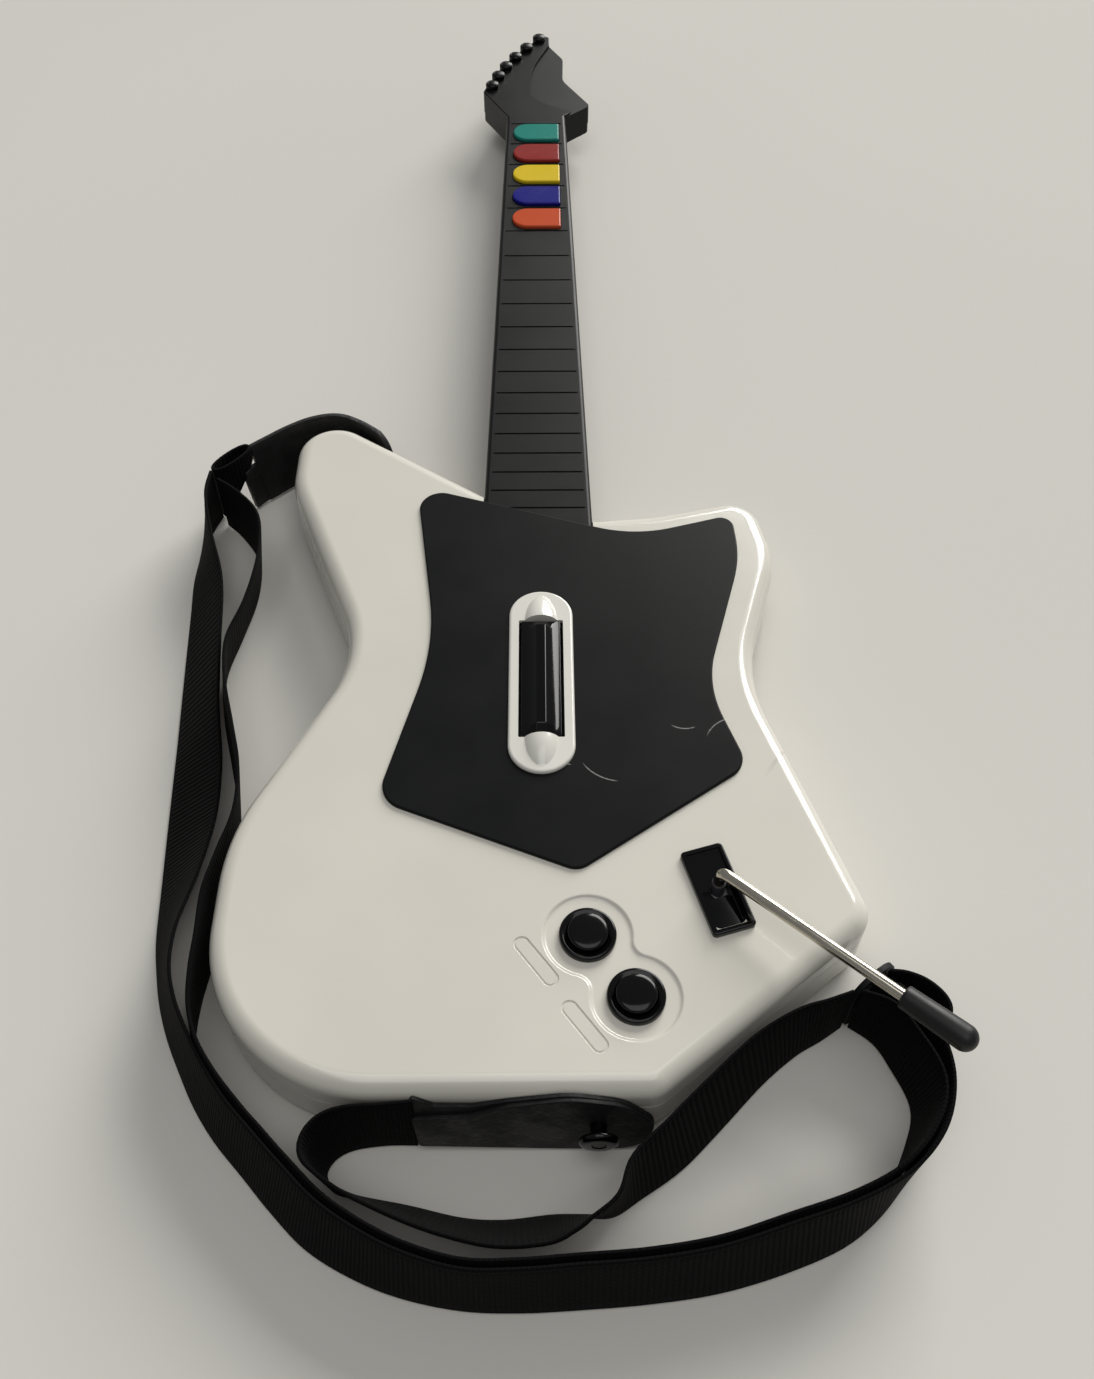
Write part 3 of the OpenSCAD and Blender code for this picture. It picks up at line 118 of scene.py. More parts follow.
def corner(a: Vector, c: Vector, b: Vector, r: float, step: float) -> list[Edge]:
    """One rounded corner.

    Args:
        a: The corner before.
        c: The corner to round.
        b: The corner after.
        r: The radius of the round.
        step: The angle between neighbouring points, in degrees.

    Returns:
        Points on the arc, each with its outward normal.
    """
    u, v = unit(a - c), unit(b - c)
    half = math.acos(max(-1.0, min(1.0, u.dot(v)))) / 2
    before, after = c - a, b - c
    bend = 1 if before.x * after.y - before.y * after.x >= 0 else -1
    mid = c + unit(u + v) * (r / math.sin(half))
    start = c + u * (r / math.tan(half)) - mid
    angle, sweep = math.atan2(start.y, start.x), bend * (math.pi - 2 * half)
    steps = max(3, math.ceil(abs(math.degrees(sweep)) / step))
    return [(mid.x + r * math.cos(angle + sweep * i / steps), mid.y + r * math.sin(angle + sweep * i / steps),
             bend * math.cos(angle + sweep * i / steps), bend * math.sin(angle + sweep * i / steps))
            for i in range(steps + 1)]


def rounded(corners: Sequence[Corner], step: float = 4.0) -> list[Edge]:
    """A closed outline, counter-clockwise, from corners (x, y, radius)."""
    points = [Vector(c[:2]) for c in corners]
    n = len(points)
    return [p for i in range(n)
            for p in corner(points[i - 1], points[i], points[(i + 1) % n], corners[i][2], step)]


def inset(outline: Sequence[Edge], by: float = 0.0) -> list[tuple[float, float]]:
    """The outline's points drawn inwards."""
    return [(x - nx * by, y - ny * by) for x, y, nx, ny in outline]


def rectangle(w: float, l: float, r: float, step: float = 10.0) -> list[Edge]:
    """A rounded rectangle about the origin."""
    return rounded([(-w / 2, -l / 2, r), (w / 2, -l / 2, r), (w / 2, l / 2, r), (-w / 2, l / 2, r)], step)


def pill(w: float, l: float, step: float = 5.0) -> list[Edge]:
    """A rectangle with half-round ends about the origin, long in y."""
    out: list[Edge] = []
    for sign, start in ((1, 0), (-1, 180)):
        for k in range(int(180 / step) + 1):
            a = math.radians(start + k * step)
            nx, ny = math.cos(a), math.sin(a)
            out.append((w / 2 * nx, sign * (l - w) / 2 + w / 2 * ny, nx, ny))
    return out


def placed(outline: Sequence[Edge], at: tuple[float, float], turn: float = 0.0) -> list[Edge]:
    """The outline turned by some degrees and moved."""
    c, s = math.cos(math.radians(turn)), math.sin(math.radians(turn))
    return [(at[0] + x * c - y * s, at[1] + x * s + y * c, nx * c - ny * s, nx * s + ny * c)
            for x, y, nx, ny in outline]


def neck_half(y: float) -> float:
    """Half the neck's width at a place along it."""
    return NUT_W / 2 + (NUT_Y - y) * NECK_SLOPE


# ------------------------------------------------------------------ modelling

def pick(*objects: bpy.types.Object) -> None:
    """Selects these objects alone, the first one active."""
    bpy.ops.object.select_all(action="DESELECT")
    for o in objects:
        o.select_set(True)
    bpy.context.view_layer.objects.active = objects[0]


class Editing:
    """Edit mode on one object, with nothing selected at the start."""

    def __init__(self, obj: bpy.types.Object, mode: str = "VERT") -> None:
        """Keeps the object and the select mode."""
        self.obj, self.mode = obj, mode

    def __enter__(self) -> "Editing":
        """Enters edit mode."""
        pick(self.obj)
        bpy.ops.object.mode_set(mode="EDIT")
        bpy.ops.mesh.select_mode(type=self.mode)
        bpy.ops.mesh.select_all(action="DESELECT")
        return self

    def __exit__(self, *_: object) -> None:
        """Leaves edit mode."""
        bpy.ops.object.mode_set(mode="OBJECT")

    def choose(self, test: Callable[[Vector], bool]) -> None:
        """Selects the vertices, edges or faces whose every corner passes the test, which gets millimetres."""
        mesh = bmesh.from_edit_mesh(self.obj.data)
        for v in mesh.verts:
            v.select_set(False)
        kept = {v for v in mesh.verts if test(v.co / MM)}
        items = {"VERT": mesh.verts, "EDGE": mesh.edges, "FACE": mesh.faces}[self.mode]
        for item in items:
            corners = [item] if self.mode == "VERT" else item.verts
            item.select_set(all(v in kept for v in corners))
        mesh.select_flush_mode()
        bmesh.update_edit_mesh(self.obj.data)


def apply(obj: bpy.types.Object, kind: str, **settings: object) -> None:
    """Adds a modifier with these settings and applies it."""
    pick(obj)
    modifier = obj.modifiers.new(kind.title(), kind)
    for key, value in settings.items():
        setattr(modifier, key, value)
    bpy.ops.object.modifier_apply(modifier=modifier.name)


def outward(obj: bpy.types.Object) -> None:
    """Merges doubled corners and turns every face outwards."""
    with Editing(obj):
        bpy.ops.mesh.select_all(action="SELECT")
        bpy.ops.mesh.remove_doubles(threshold=NIL)
        bpy.ops.mesh.normals_make_consistent(inside=False)


def skinned(name: str, rings: Sequence[Sequence[Vector]]) -> bpy.types.Object:
    """A closed form over rings of equally many points.

    A circle is shaped to the first ring and extruded from ring to ring.

    Args:
        name: The piece's name.
        rings: The rings, in millimetres.

    Returns:
        The new object.
    """
    bpy.ops.object.select_all(action="DESELECT")
    bpy.ops.mesh.primitive_circle_add(vertices=len(rings[0]), radius=1, fill_type="NGON", location=(0, 0, 0))
    obj = bpy.context.active_object
    obj.name = name
    for v, p in zip(obj.data.vertices, rings[0]):
        v.co = p * MM
    with Editing(obj, "FACE"):
        bpy.ops.mesh.select_all(action="SELECT")
        for before, after in zip(rings, rings[1:]):
            bpy.ops.mesh.extrude_region_move()
            mesh = bmesh.from_edit_mesh(obj.data)
            for v in (v for v in mesh.verts if v.select):
                v.co = after[min(range(len(before)), key=lambda i: (before[i] * MM - v.co).length_squared)] * MM
            bmesh.update_edit_mesh(obj.data)
        bpy.ops.mesh.select_all(action="SELECT")
        bpy.ops.mesh.normals_make_consistent(inside=False)
    return obj


def level(points: Iterable[Sequence[float]], z: float) -> list[Vector]:
    """A ring of flat points at one height."""
    return [Vector((p[0], p[1], z)) for p in points]


def stepped(name: str, outline: Sequence[Edge], steps: Sequence[tuple[float, float]]) -> bpy.types.Object:
    """A slab whose wall follows steps of (inset, height)."""
    return skinned(name, [level(inset(outline, by), z) for by, z in steps])


def plate(name: str, outline: Sequence[tuple[float, float]], z0: float, z1: float,
          top: float = 0.0, bottom: float = 0.0, segments: int = 5) -> bpy.types.Object:
    """A slab, rounded along its top and bottom edges.

    Args:
        name: The piece's name.
        outline: Points counter-clockwise, in millimetres.
        z0: Height of the under side.
        z1: Height of the upper side.
        top: Radius of the upper edge.
        bottom: Radius of the lower edge.
        segments: Steps in each rounded edge.

    Returns:
        The new object.
    """
    obj = skinned(name, [level(outline, z0), level(outline, z1)])
    for z, radius in ((z1, top), (z0, bottom)):
        if radius:
            with Editing(obj, "EDGE") as edit:
                edit.choose(lambda p: abs(p.z - z) < 1e-3)
                bpy.ops.mesh.bevel(offset=radius * MM, segments=segments, affect="EDGES", clamp_overlap=False)
    return obj


def tube(name: str, path: Sequence[Vector], r: float, sides: int = 28) -> bpy.types.Object:
    """A round bar along a path in millimetres."""
    rings, side = [], Vector((1, 0, 0))
    for i, p in enumerate(path):
        along = (path[min(i + 1, len(path) - 1)] - path[max(i - 1, 0)]).normalized()
        side = (side - along * side.dot(along)).normalized()
        up = along.cross(side)
        rings.append([p + (side * math.cos(math.tau * k / sides) + up * math.sin(math.tau * k / sides)) * r
                      for k in range(sides)])
    return skinned(name, rings)


def copied(obj: bpy.types.Object, name: str, shift: Sequence[float]) -> bpy.types.Object:
    """A copy with its own mesh, shifted in millimetres."""
    other = obj.copy()
    other.data = obj.data.copy()
    other.name = name
    bpy.context.scene.collection.objects.link(other)
    return seat(other, Matrix.Translation(Vector(shift) * MM))


def turned(name: str, profile: Sequence[tuple[float, float]], steps: int = 64) -> bpy.types.Object:
    """A turned piece about Z: a profile loop (radius, height) in millimetres, spun round.

    Points on the axis close the ends.
    """
    bpy.ops.object.select_all(action="DESELECT")
    bpy.ops.mesh.primitive_circle_add(vertices=len(profile), radius=1, fill_type="NOTHING", location=(0, 0, 0))
    obj = bpy.context.active_object
    obj.name = name
    for v, p in zip(obj.data.vertices, profile):
        v.co = (p[0] * MM, 0, p[1] * MM)
    with Editing(obj, "EDGE") as edit:
        edit.choose(lambda p: p.x < NIL)
        bpy.ops.mesh.delete(type="EDGE")
        bpy.ops.mesh.select_all(action="SELECT")
        bpy.ops.mesh.spin(steps=steps, angle=math.tau, center=(0, 0, 0), axis=(0, 0, 1))
    outward(obj)
    return obj


def seat(obj: bpy.types.Object, matrix: Matrix) -> bpy.types.Object:
    """Moves a piece's mesh by a matrix whose shift is in metres, and leaves its object at the origin."""
    obj.data.transform(matrix)
    obj.data.update()
    return obj


def pose(at: Sequence[float], turn: float = 0.0, tip: Optional[Matrix] = None) -> Matrix:
    """A place in millimetres with a turn about Z, after an optional first turn."""
    return (Matrix.Translation(Vector(at) * MM) @ Matrix.Rotation(math.radians(turn), 4, "Z")
            @ (tip or Matrix.Identity(4)))


def bore(obj: bpy.types.Object, *cutters: bpy.types.Object) -> None:
    """Cuts the cutters out of a piece and removes them."""
    for cutter in cutters:
        apply(obj, "BOOLEAN", object=cutter, operation="DIFFERENCE", solver="EXACT")
        bpy.data.objects.remove(cutter)


def fuse(obj: bpy.types.Object, *others: bpy.types.Object) -> None:
    """Unites other pieces with this one and removes them."""
    for other in others:
        apply(obj, "BOOLEAN", object=other, operation="UNION", solver="EXACT")
        bpy.data.objects.remove(other)


def join(obj: bpy.types.Object, *others: bpy.types.Object) -> bpy.types.Object:
    """Makes one object of several that don't touch."""
    pick(obj, *others)
    bpy.ops.object.join()
    return obj


def shade(obj: bpy.types.Object, angle: float = 30.0, weigh: bool = True) -> bpy.types.Object:
    """Smooth shading that keeps edges sharper than the angle, with flat faces kept flat."""
    pick(obj)
    bpy.ops.object.shade_smooth_by_angle(angle=math.radians(angle))
    if weigh:
        apply(obj, "WEIGHTED_NORMAL", keep_sharp=True, weight=80)
    return obj


def ribbon(name: str, rows: Sequence[Sequence[Vector]], closed: bool = False) -> bpy.types.Object:
    """A grid whose rows are given in metres: a strip or a tube, with UV along it in x and across it in y."""
    long, wide = len(rows), len(rows[0])
    bpy.ops.object.select_all(action="DESELECT")
    bpy.ops.mesh.primitive_grid_add(x_subdivisions=long - 1, y_subdivisions=wide - 1, size=1, calc_uvs=True)
    obj = bpy.context.active_object
    obj.name = name
    for v in obj.data.vertices:
        i, j = round((v.co.x + 0.5) * (long - 1)), round((v.co.y + 0.5) * (wide - 1))
        v.co = rows[i][j]
    if closed:
        outward(obj)
    return obj


def smooth_route(points: Sequence[Sequence[float]], steps: int) -> list[tuple[float, ...]]:
    """A smooth curve through points of any size, with extra points between them."""
    out: list[tuple[float, ...]] = []
    last = len(points) - 1
    for i in range(last):
        a, b, c, d = points[max(i - 1, 0)], points[i], points[i + 1], points[min(i + 2, last)]
        for k in range(steps):
            t = k / steps
            out.append(tuple((2 * q + (r - p) * t + (2 * p - 5 * q + 4 * r - s) * t * t
                              + (3 * q - p - 3 * r + s) * t ** 3) / 2 for p, q, r, s in zip(a, b, c, d)))
    out.append(tuple(points[last]))
    return out


# ------------------------------------------------------------------ finishes

class Nodes:
    """A short way to wire up one material."""

    def __init__(self, name: str) -> None:
        """Makes the material with its shader."""
        self.material = bpy.data.materials.new(name)
        self.material.use_nodes = True
        self.tree = self.material.node_tree
        self.shader = self.tree.nodes["Principled BSDF"]
        self.coords = self.add("ShaderNodeTexCoord")

    def add(self, kind: str, **settings: object) -> bpy.types.Node:
        """Adds a node; settings name its properties, or its sockets where it has no such property."""
        node = self.tree.nodes.new(kind)
        for key, value in settings.items():
            if hasattr(node, key):
                setattr(node, key, value)
            else:
                node.inputs[key.replace("_", " ")].default_value = value
        return node

    def link(self, source: bpy.types.NodeSocket, target: bpy.types.NodeSocket) -> None:
        """Links two sockets."""
        self.tree.links.new(source, target)

    def place(self, scale: Sequence[float], turn: float) -> bpy.types.NodeSocket:
        """Object coordinates, turned about Z by some degrees and then scaled."""
        spin = self.add("ShaderNodeMapping", vector_type="TEXTURE")
        spin.inputs["Rotation"].default_value = (0, 0, math.radians(turn))
        self.link(self.coords.outputs["Object"], spin.inputs["Vector"])
        stretch = self.add("ShaderNodeMapping")
        stretch.inputs["Scale"].default_value = scale
        self.link(spin.outputs["Vector"], stretch.inputs["Vector"])
        return stretch.outputs["Vector"]

    def noise(self, scale: float, detail: float = 3.0, where: Optional[bpy.types.NodeSocket] = None,
              rough: float = 0.55) -> bpy.types.NodeSocket:
        """A noise value between 0 and 1."""
        node = self.add("ShaderNodeTexNoise", Scale=scale, Detail=detail, Roughness=rough)
        self.link(where or self.coords.outputs["Object"], node.inputs["Vector"])
        return node.outputs["Fac"]

    def spread(self, value: bpy.types.NodeSocket, low: float, high: float,
               to_low: float = 0.0, to_high: float = 1.0) -> bpy.types.NodeSocket:
        """Maps a value from one range to another, clamped."""
        node = self.add("ShaderNodeMapRange")
        for key, number in zip(("From Min", "From Max", "To Min", "To Max"), (low, high, to_low, to_high)):
            node.inputs[key].default_value = number
        self.link(value, node.inputs["Value"])
        return node.outputs["Result"]

    def calc(self, what: str, a: bpy.types.NodeSocket, b: object = 0.5) -> bpy.types.NodeSocket:
        """The result of one sum on a value and another value or number."""
        node = self.add("ShaderNodeMath", operation=what)
        self.link(a, node.inputs[0])
        if isinstance(b, bpy.types.NodeSocket):
            self.link(b, node.inputs[1])
        else:
            node.inputs[1].default_value = b
        return node.outputs["Value"]

    def mix(self, share: bpy.types.NodeSocket, a: object, b: object) -> bpy.types.NodeSocket:
        """Mixes two colours, each a colour or a socket."""
        node = self.add("ShaderNodeMix", data_type="RGBA")
        self.link(share, node.inputs["Factor"])
        for key, value in ((6, a), (7, b)):
            if isinstance(value, bpy.types.NodeSocket):
                self.link(value, node.inputs[key])
            else:
                node.inputs[key].default_value = (*value, 1)
        return node.outputs[2]

    def colour(self, value: bpy.types.NodeSocket) -> None:
        """Uses a socket as the base colour."""
        self.link(value, self.shader.inputs["Base Color"])

    def roughness(self, value: bpy.types.NodeSocket) -> None:
        """Uses a socket as the roughness."""
        self.link(value, self.shader.inputs["Roughness"])

    def bump(self, height: bpy.types.NodeSocket, depth: float, strength: float = 1.0,
             under: Optional[bpy.types.NodeSocket] = None) -> bpy.types.NodeSocket:
        """Bumps the surface by a height of that many metres."""
        node = self.add("ShaderNodeBump", Distance=depth, Strength=strength)
        self.link(height, node.inputs["Height"])
        if under:
            self.link(under, node.inputs["Normal"])
        self.link(node.outputs["Normal"], self.shader.inputs["Normal"])
        return node.outputs["Normal"]

    def fixed(self, **values: float) -> None:
        """Sets sockets of the shader itself, such as Coat_Weight."""
        for key, value in values.items():
            self.shader.inputs[key.replace("_", " ")].default_value = value


def tint(colour: Colour, by: float) -> Colour:
    """The colour made lighter or darker by a factor."""
    return tuple(min(1.0, c * by) for c in colour)


@dataclass(frozen=True)
class Plastic:
    """Moulded plastic with a little cloudiness, handling marks and mould texture.

    Attributes:
        colour: Its colour.
        gloss: Its roughness where it is cleanest.
        smear: How much rougher it is where it was handled.
        grain: Depth of its texture in metres.
        grain_size: How fine the texture is.
        coat: Weight of its clear top.
        shine: How strongly it mirrors, 0.5 for bare polished plastic.
    """

    colour: Colour
    gloss: float = 0.25
    smear: float = 0.08
    grain: float = 0.00001
    grain_size: float = 400.0
    coat: float = 0.0
    shine: float = 0.5

    def make(self, name: str) -> Nodes:
        """Builds the material."""
        n = Nodes(name)
        cloud = n.noise(9, 3)
        n.colour(n.mix(n.spread(cloud, 0.35, 0.7), tint(self.colour, 0.965), tint(self.colour, 1.035)))
        n.roughness(n.spread(n.noise(26, 4), 0.35, 0.75, self.gloss, self.gloss + self.smear))
        n.bump(n.noise(self.grain_size, 2), self.grain)
        n.fixed(Coat_Weight=self.coat, Coat_Roughness=0.06, Specular_IOR_Level=self.shine)
        return n


@dataclass(frozen=True)
class Scuffed(Plastic):
    """Plastic with short scratches.

    Attributes:
        scratch: Colour of a scratch.
        weight: How plainly the fine scratches show.
        arcs: Long curved scratches in metres: centre x and y, radius, first and last x, and 1 for the upper
            part of the circle or -1 for the lower.
    """

    scratch: Colour = (0.25, 0.25, 0.24)
    weight: float = 0.3
    arcs: tuple[tuple[float, float, float, float, float, int], ...] = ()

    def arc(self, n: Nodes, x: float, y: float, radius: float, first: float, last: float,
            side: int) -> bpy.types.NodeSocket:
        """One long curved scratch, 1 on it and 0 beside it."""
        split = n.add("ShaderNodeSeparateXYZ")
        n.link(n.coords.outputs["Object"], split.inputs["Vector"])
        dx, dy = n.calc("SUBTRACT", split.outputs["X"], x), n.calc("SUBTRACT", split.outputs["Y"], y)
        away = n.calc("SQRT", n.calc("ADD", n.calc("MULTIPLY", dx, dx), n.calc("MULTIPLY", dy, dy)))
        off = n.calc("ABSOLUTE", n.calc("SUBTRACT", away, radius))
        line = n.spread(off, 0.0001, 0.0004, 1, 0)
        line = n.calc("MULTIPLY", line, n.calc("GREATER_THAN", n.calc("MULTIPLY", dy, side), 0.0))
        middle, half = (first + last) / 2, (last - first) / 2
        reach = n.calc("ABSOLUTE", n.calc("SUBTRACT", split.outputs["X"], middle))
        line = n.calc("MULTIPLY", line, n.spread(reach, half * 0.7, half, 1, 0))
        return n.calc("MULTIPLY", line, n.spread(n.noise(900, 2), 0.3, 0.5, 0.35, 1))

    def make(self, name: str) -> Nodes:
        """Builds the plastic and lays scratches on it."""
        n = super().make(name)
        base = n.shader.inputs["Base Color"].links[0].from_socket
        marks = None
        for turn, seed in ((28, 0.0), (-35, 3.1)):
            where = n.place((150 + seed, 9, 1), turn)
            hair = n.spread(n.noise(1.0, 1, where), 0.735, 0.76)
            patch = n.spread(n.noise(7 + seed, 2), 0.56, 0.62)
            one = n.calc("MULTIPLY", hair, patch)
            marks = one if marks is None else n.calc("MAXIMUM", marks, one)
        marks = n.calc("MULTIPLY", marks, self.weight)
        for values in self.arcs:
            marks = n.calc("MAXIMUM", marks, self.arc(n, *values))
        n.colour(n.mix(marks, base, self.scratch))
        return n


@dataclass(frozen=True)
class Metal:
    """Bare or plated metal with fine wear.

    Attributes:
        colour: Its colour.
        rough: Its roughness.
        worn: Colour of its dull patches.
    """

    colour: Colour
    rough: float = 0.22
    worn: Colour = (0.3, 0.27, 0.22)

    def make(self, name: str) -> Nodes:
        """Builds the material."""
        n = Nodes(name)
        patch = n.spread(n.noise(24, 3), 0.6, 0.9)
        n.colour(n.mix(patch, self.colour, self.worn))
        n.roughness(n.spread(n.noise(120, 3), 0.3, 0.7, self.rough, self.rough + 0.1))
        n.bump(n.noise(700, 2), 0.000003)
        n.fixed(Metallic=1.0)
        return n


@dataclass(frozen=True)
class Rubber:
    """Soft dark rubber or silicone."""

    colour: Colour
    rough: float = 0.5

    def make(self, name: str) -> Nodes:
        """Builds the material."""
        n = Nodes(name)
        n.colour(n.mix(n.spread(n.noise(40, 4), 0.3, 0.7), tint(self.colour, 0.8), tint(self.colour, 1.5)))
        n.roughness(n.spread(n.noise(70, 3), 0.3, 0.7, self.rough - 0.08, self.rough + 0.1))
        n.bump(n.noise(700, 3), 0.00003)
        n.fixed(Specular_IOR_Level=0.3)
        return n


@dataclass(frozen=True)
class Leather:
    """Imitation leather: a pebbled skin with creases."""

    colour: Colour
    rough: float = 0.42

    def make(self, name: str) -> Nodes:
        """Builds the material."""
        n = Nodes(name)
        cells = n.add("ShaderNodeTexVoronoi", Scale=620)
        cells.feature = "SMOOTH_F1"
        n.link(n.coords.outputs["Object"], cells.inputs["Vector"])
        pebbles = cells.outputs["Distance"]
        creases = n.spread(n.noise(45, 5, rough=0.65), 0.42, 0.6)
        n.colour(n.mix(n.spread(n.noise(120, 4), 0.3, 0.75), tint(self.colour, 0.7), tint(self.colour, 1.8)))
        n.roughness(n.spread(creases, 0, 1, self.rough, self.rough + 0.2))
        n.bump(pebbles, 0.0002, 0.5, n.bump(creases, 0.0005, 0.6))
        n.fixed(Specular_IOR_Level=0.3)
        return n


@dataclass(frozen=True)
class Fuzz:
    """The rough torn edge of layered leather board."""

    colour: Colour

    def make(self, name: str) -> Nodes:
        """Builds the material."""
        n = Nodes(name)
        n.colour(n.mix(n.spread(n.noise(500, 5), 0.35, 0.68), tint(self.colour, 0.25), tint(self.colour, 1.5)))
        n.bump(n.noise(900, 5), 0.0004)
        n.fixed(Roughness=0.95)
        return n


@dataclass(frozen=True)
class Webbing:
    """Woven ribbed tape. Ribs run across it, and both edges have a narrow selvedge.

    Attributes:
        colour: Colour of the yarn.
        length: Length of the strip in metres.
        rib: Distance between ribs in metres.
    """

    colour: Colour
    length: float
    rib: float = 0.0021

    def make(self, name: str) -> Nodes:
        """Builds the material from the strip's own UV map."""
        n = Nodes(name)
        split = n.add("ShaderNodeSeparateXYZ")
        n.link(n.coords.outputs["UV"], split.inputs["Vector"])
        along = n.calc("MULTIPLY", split.outputs["X"], self.length / self.rib * math.tau)
        across = split.outputs["Y"]
        wobble = n.calc("MULTIPLY", n.noise(90, 2), 1.6)
        ribs = n.calc("SINE", n.calc("ADD", along, wobble))
        yarn = n.calc("SINE", n.calc("MULTIPLY", across, 34 * math.tau))
        ribs = n.spread(ribs, -1, 1)
        height = n.calc("ADD", ribs, n.calc("MULTIPLY", n.calc("MULTIPLY", yarn, ribs), 0.18))
        edge = n.calc("ABSOLUTE", n.calc("SUBTRACT", across, 0.5))
        selvedge = n.spread(edge, 0.45, 0.47)
        # Painted shade and painted light: the colour follows the rib height, darker in the rib valleys and
        # lighter on the crests, with some random yarn tone from the noise.
        n.colour(n.mix(n.spread(n.calc("ADD", height, n.noise(60, 4)), 0.4, 1.9), tint(self.colour, 0.45),
                       tint(self.colour, 1.7)))
        height = n.calc("MULTIPLY", height, n.spread(selvedge, 0, 1, 1, 0.25))
        n.bump(n.calc("ADD", height, n.calc("MULTIPLY", selvedge, 0.7)), 0.0005, 0.9)
        n.fixed(Roughness=0.8, Specular_IOR_Level=0.07, Sheen_Weight=0.01, Sheen_Roughness=0.5)
        return n


class Finish(Enum):
    """Every finish on the guitar that isn't tied to one strip."""

    SHELL = Scuffed((0.63, 0.607, 0.54), 0.14, 0.10, 0.000004, 250, 0.4, scratch=(0.36, 0.34, 0.30))
    WHITE_TRIM = Plastic((0.66, 0.645, 0.59), 0.2, 0.1, 0.000005, 300, 0.3)
    GUARD = Scuffed((0.0045, 0.005, 0.005), 0.36, 0.1, 0.00001, 900, shine=0.1, arcs=(
        (0.040, -0.038, 0.022, 0.021, 0.038, -1), (0.072, -0.018, 0.0115, 0.065, 0.077, -1),
        (0.098, -0.040, 0.017, 0.082, 0.094, 1), (0.012, -0.080, 0.03, 0.006, 0.016, 1)))
    GLOSS_BLACK = Plastic((0.0015, 0.0015, 0.0018), 0.1, 0.08, 0.000003, 200, 0.15, 0.2)
    PEG = Plastic((0.0015, 0.0015, 0.0018), 0.3, 0.1, 0.00002, 900, shine=0.2)
    NECK = Plastic((0.006, 0.0064, 0.0062), 0.34, 0.1, 0.00004, 1500, shine=0.13)
    GREEN = Plastic((0.013, 0.19, 0.155), 0.22, 0.1, shine=0.14)
    RED = Plastic((0.23, 0.02, 0.017), 0.22, 0.1, shine=0.14)
    YELLOW = Plastic((0.6, 0.435, 0.012), 0.22, 0.1, shine=0.14)
    BLUE = Plastic((0.006, 0.006, 0.17), 0.22, 0.1, shine=0.14)
    ORANGE = Plastic((0.48, 0.07, 0.022), 0.22, 0.1, shine=0.14)
    NICKEL = Metal((0.53, 0.5, 0.42), 0.13, (0.46, 0.42, 0.34))
    STEEL = Metal((0.55, 0.55, 0.56), 0.25, (0.35, 0.34, 0.33))
    BLACK_STEEL = Metal((0.06, 0.06, 0.06), 0.35, (0.1, 0.09, 0.08))
    CONTACT = Metal((0.65, 0.6, 0.45), 0.3, (0.4, 0.35, 0.2))
    CAN = Metal((0.6, 0.6, 0.6), 0.3, (0.45, 0.44, 0.42))
    GRIP = Rubber((0.0075, 0.0075, 0.0078), 0.42)
    SILICONE = Rubber((0.28, 0.28, 0.29), 0.6)
    LEATHER = Leather((0.005, 0.005, 0.0053))
    LEATHER_EDGE = Fuzz((0.2, 0.2, 0.19))
    INNER_BLACK = Plastic((0.03, 0.03, 0.034), 0.45, 0.1, 0.00002, 800)
    SLIDER = Plastic((0.004, 0.004, 0.0045), 0.5, 0.1, 0.00002, 800, shine=0.15)
    INNER_GREY = Plastic((0.25, 0.25, 0.27), 0.45, 0.1, 0.00002, 800)
    BOARD = Plastic((0.015, 0.11, 0.04), 0.35, 0.2, 0.00001, 300)
    CELL = Plastic((0.09, 0.085, 0.075), 0.3, 0.1)


_made: dict[str, bpy.types.Material] = {}


def material(finish: Finish) -> bpy.types.Material:
    """The finish's material, made once."""
    if finish.name not in _made:
        _made[finish.name] = finish.value.make(finish.name.lower()).material
    return _made[finish.name]


def dress(obj: bpy.types.Object, *finishes: bpy.types.Material) -> None:
    """Puts materials in a piece's slots in place of what it had."""
    obj.data.materials.clear()
    for m in finishes:
        obj.data.materials.append(m)


def hand_over(obj: bpy.types.Object, body: str, slot: str, finish: Finish, *nodes: str) -> bpy.types.Object:
    """Dresses a finished piece, hangs it on its body and says which nodes it stands for."""
    dress(obj, material(finish))
    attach(obj, body)
    if nodes:
        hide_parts(*nodes)
    LOG.info("%s on %s for %s", obj.name, body, ", ".join(nodes) or "nothing")
    return obj


# ------------------------------------------------------------------ studio

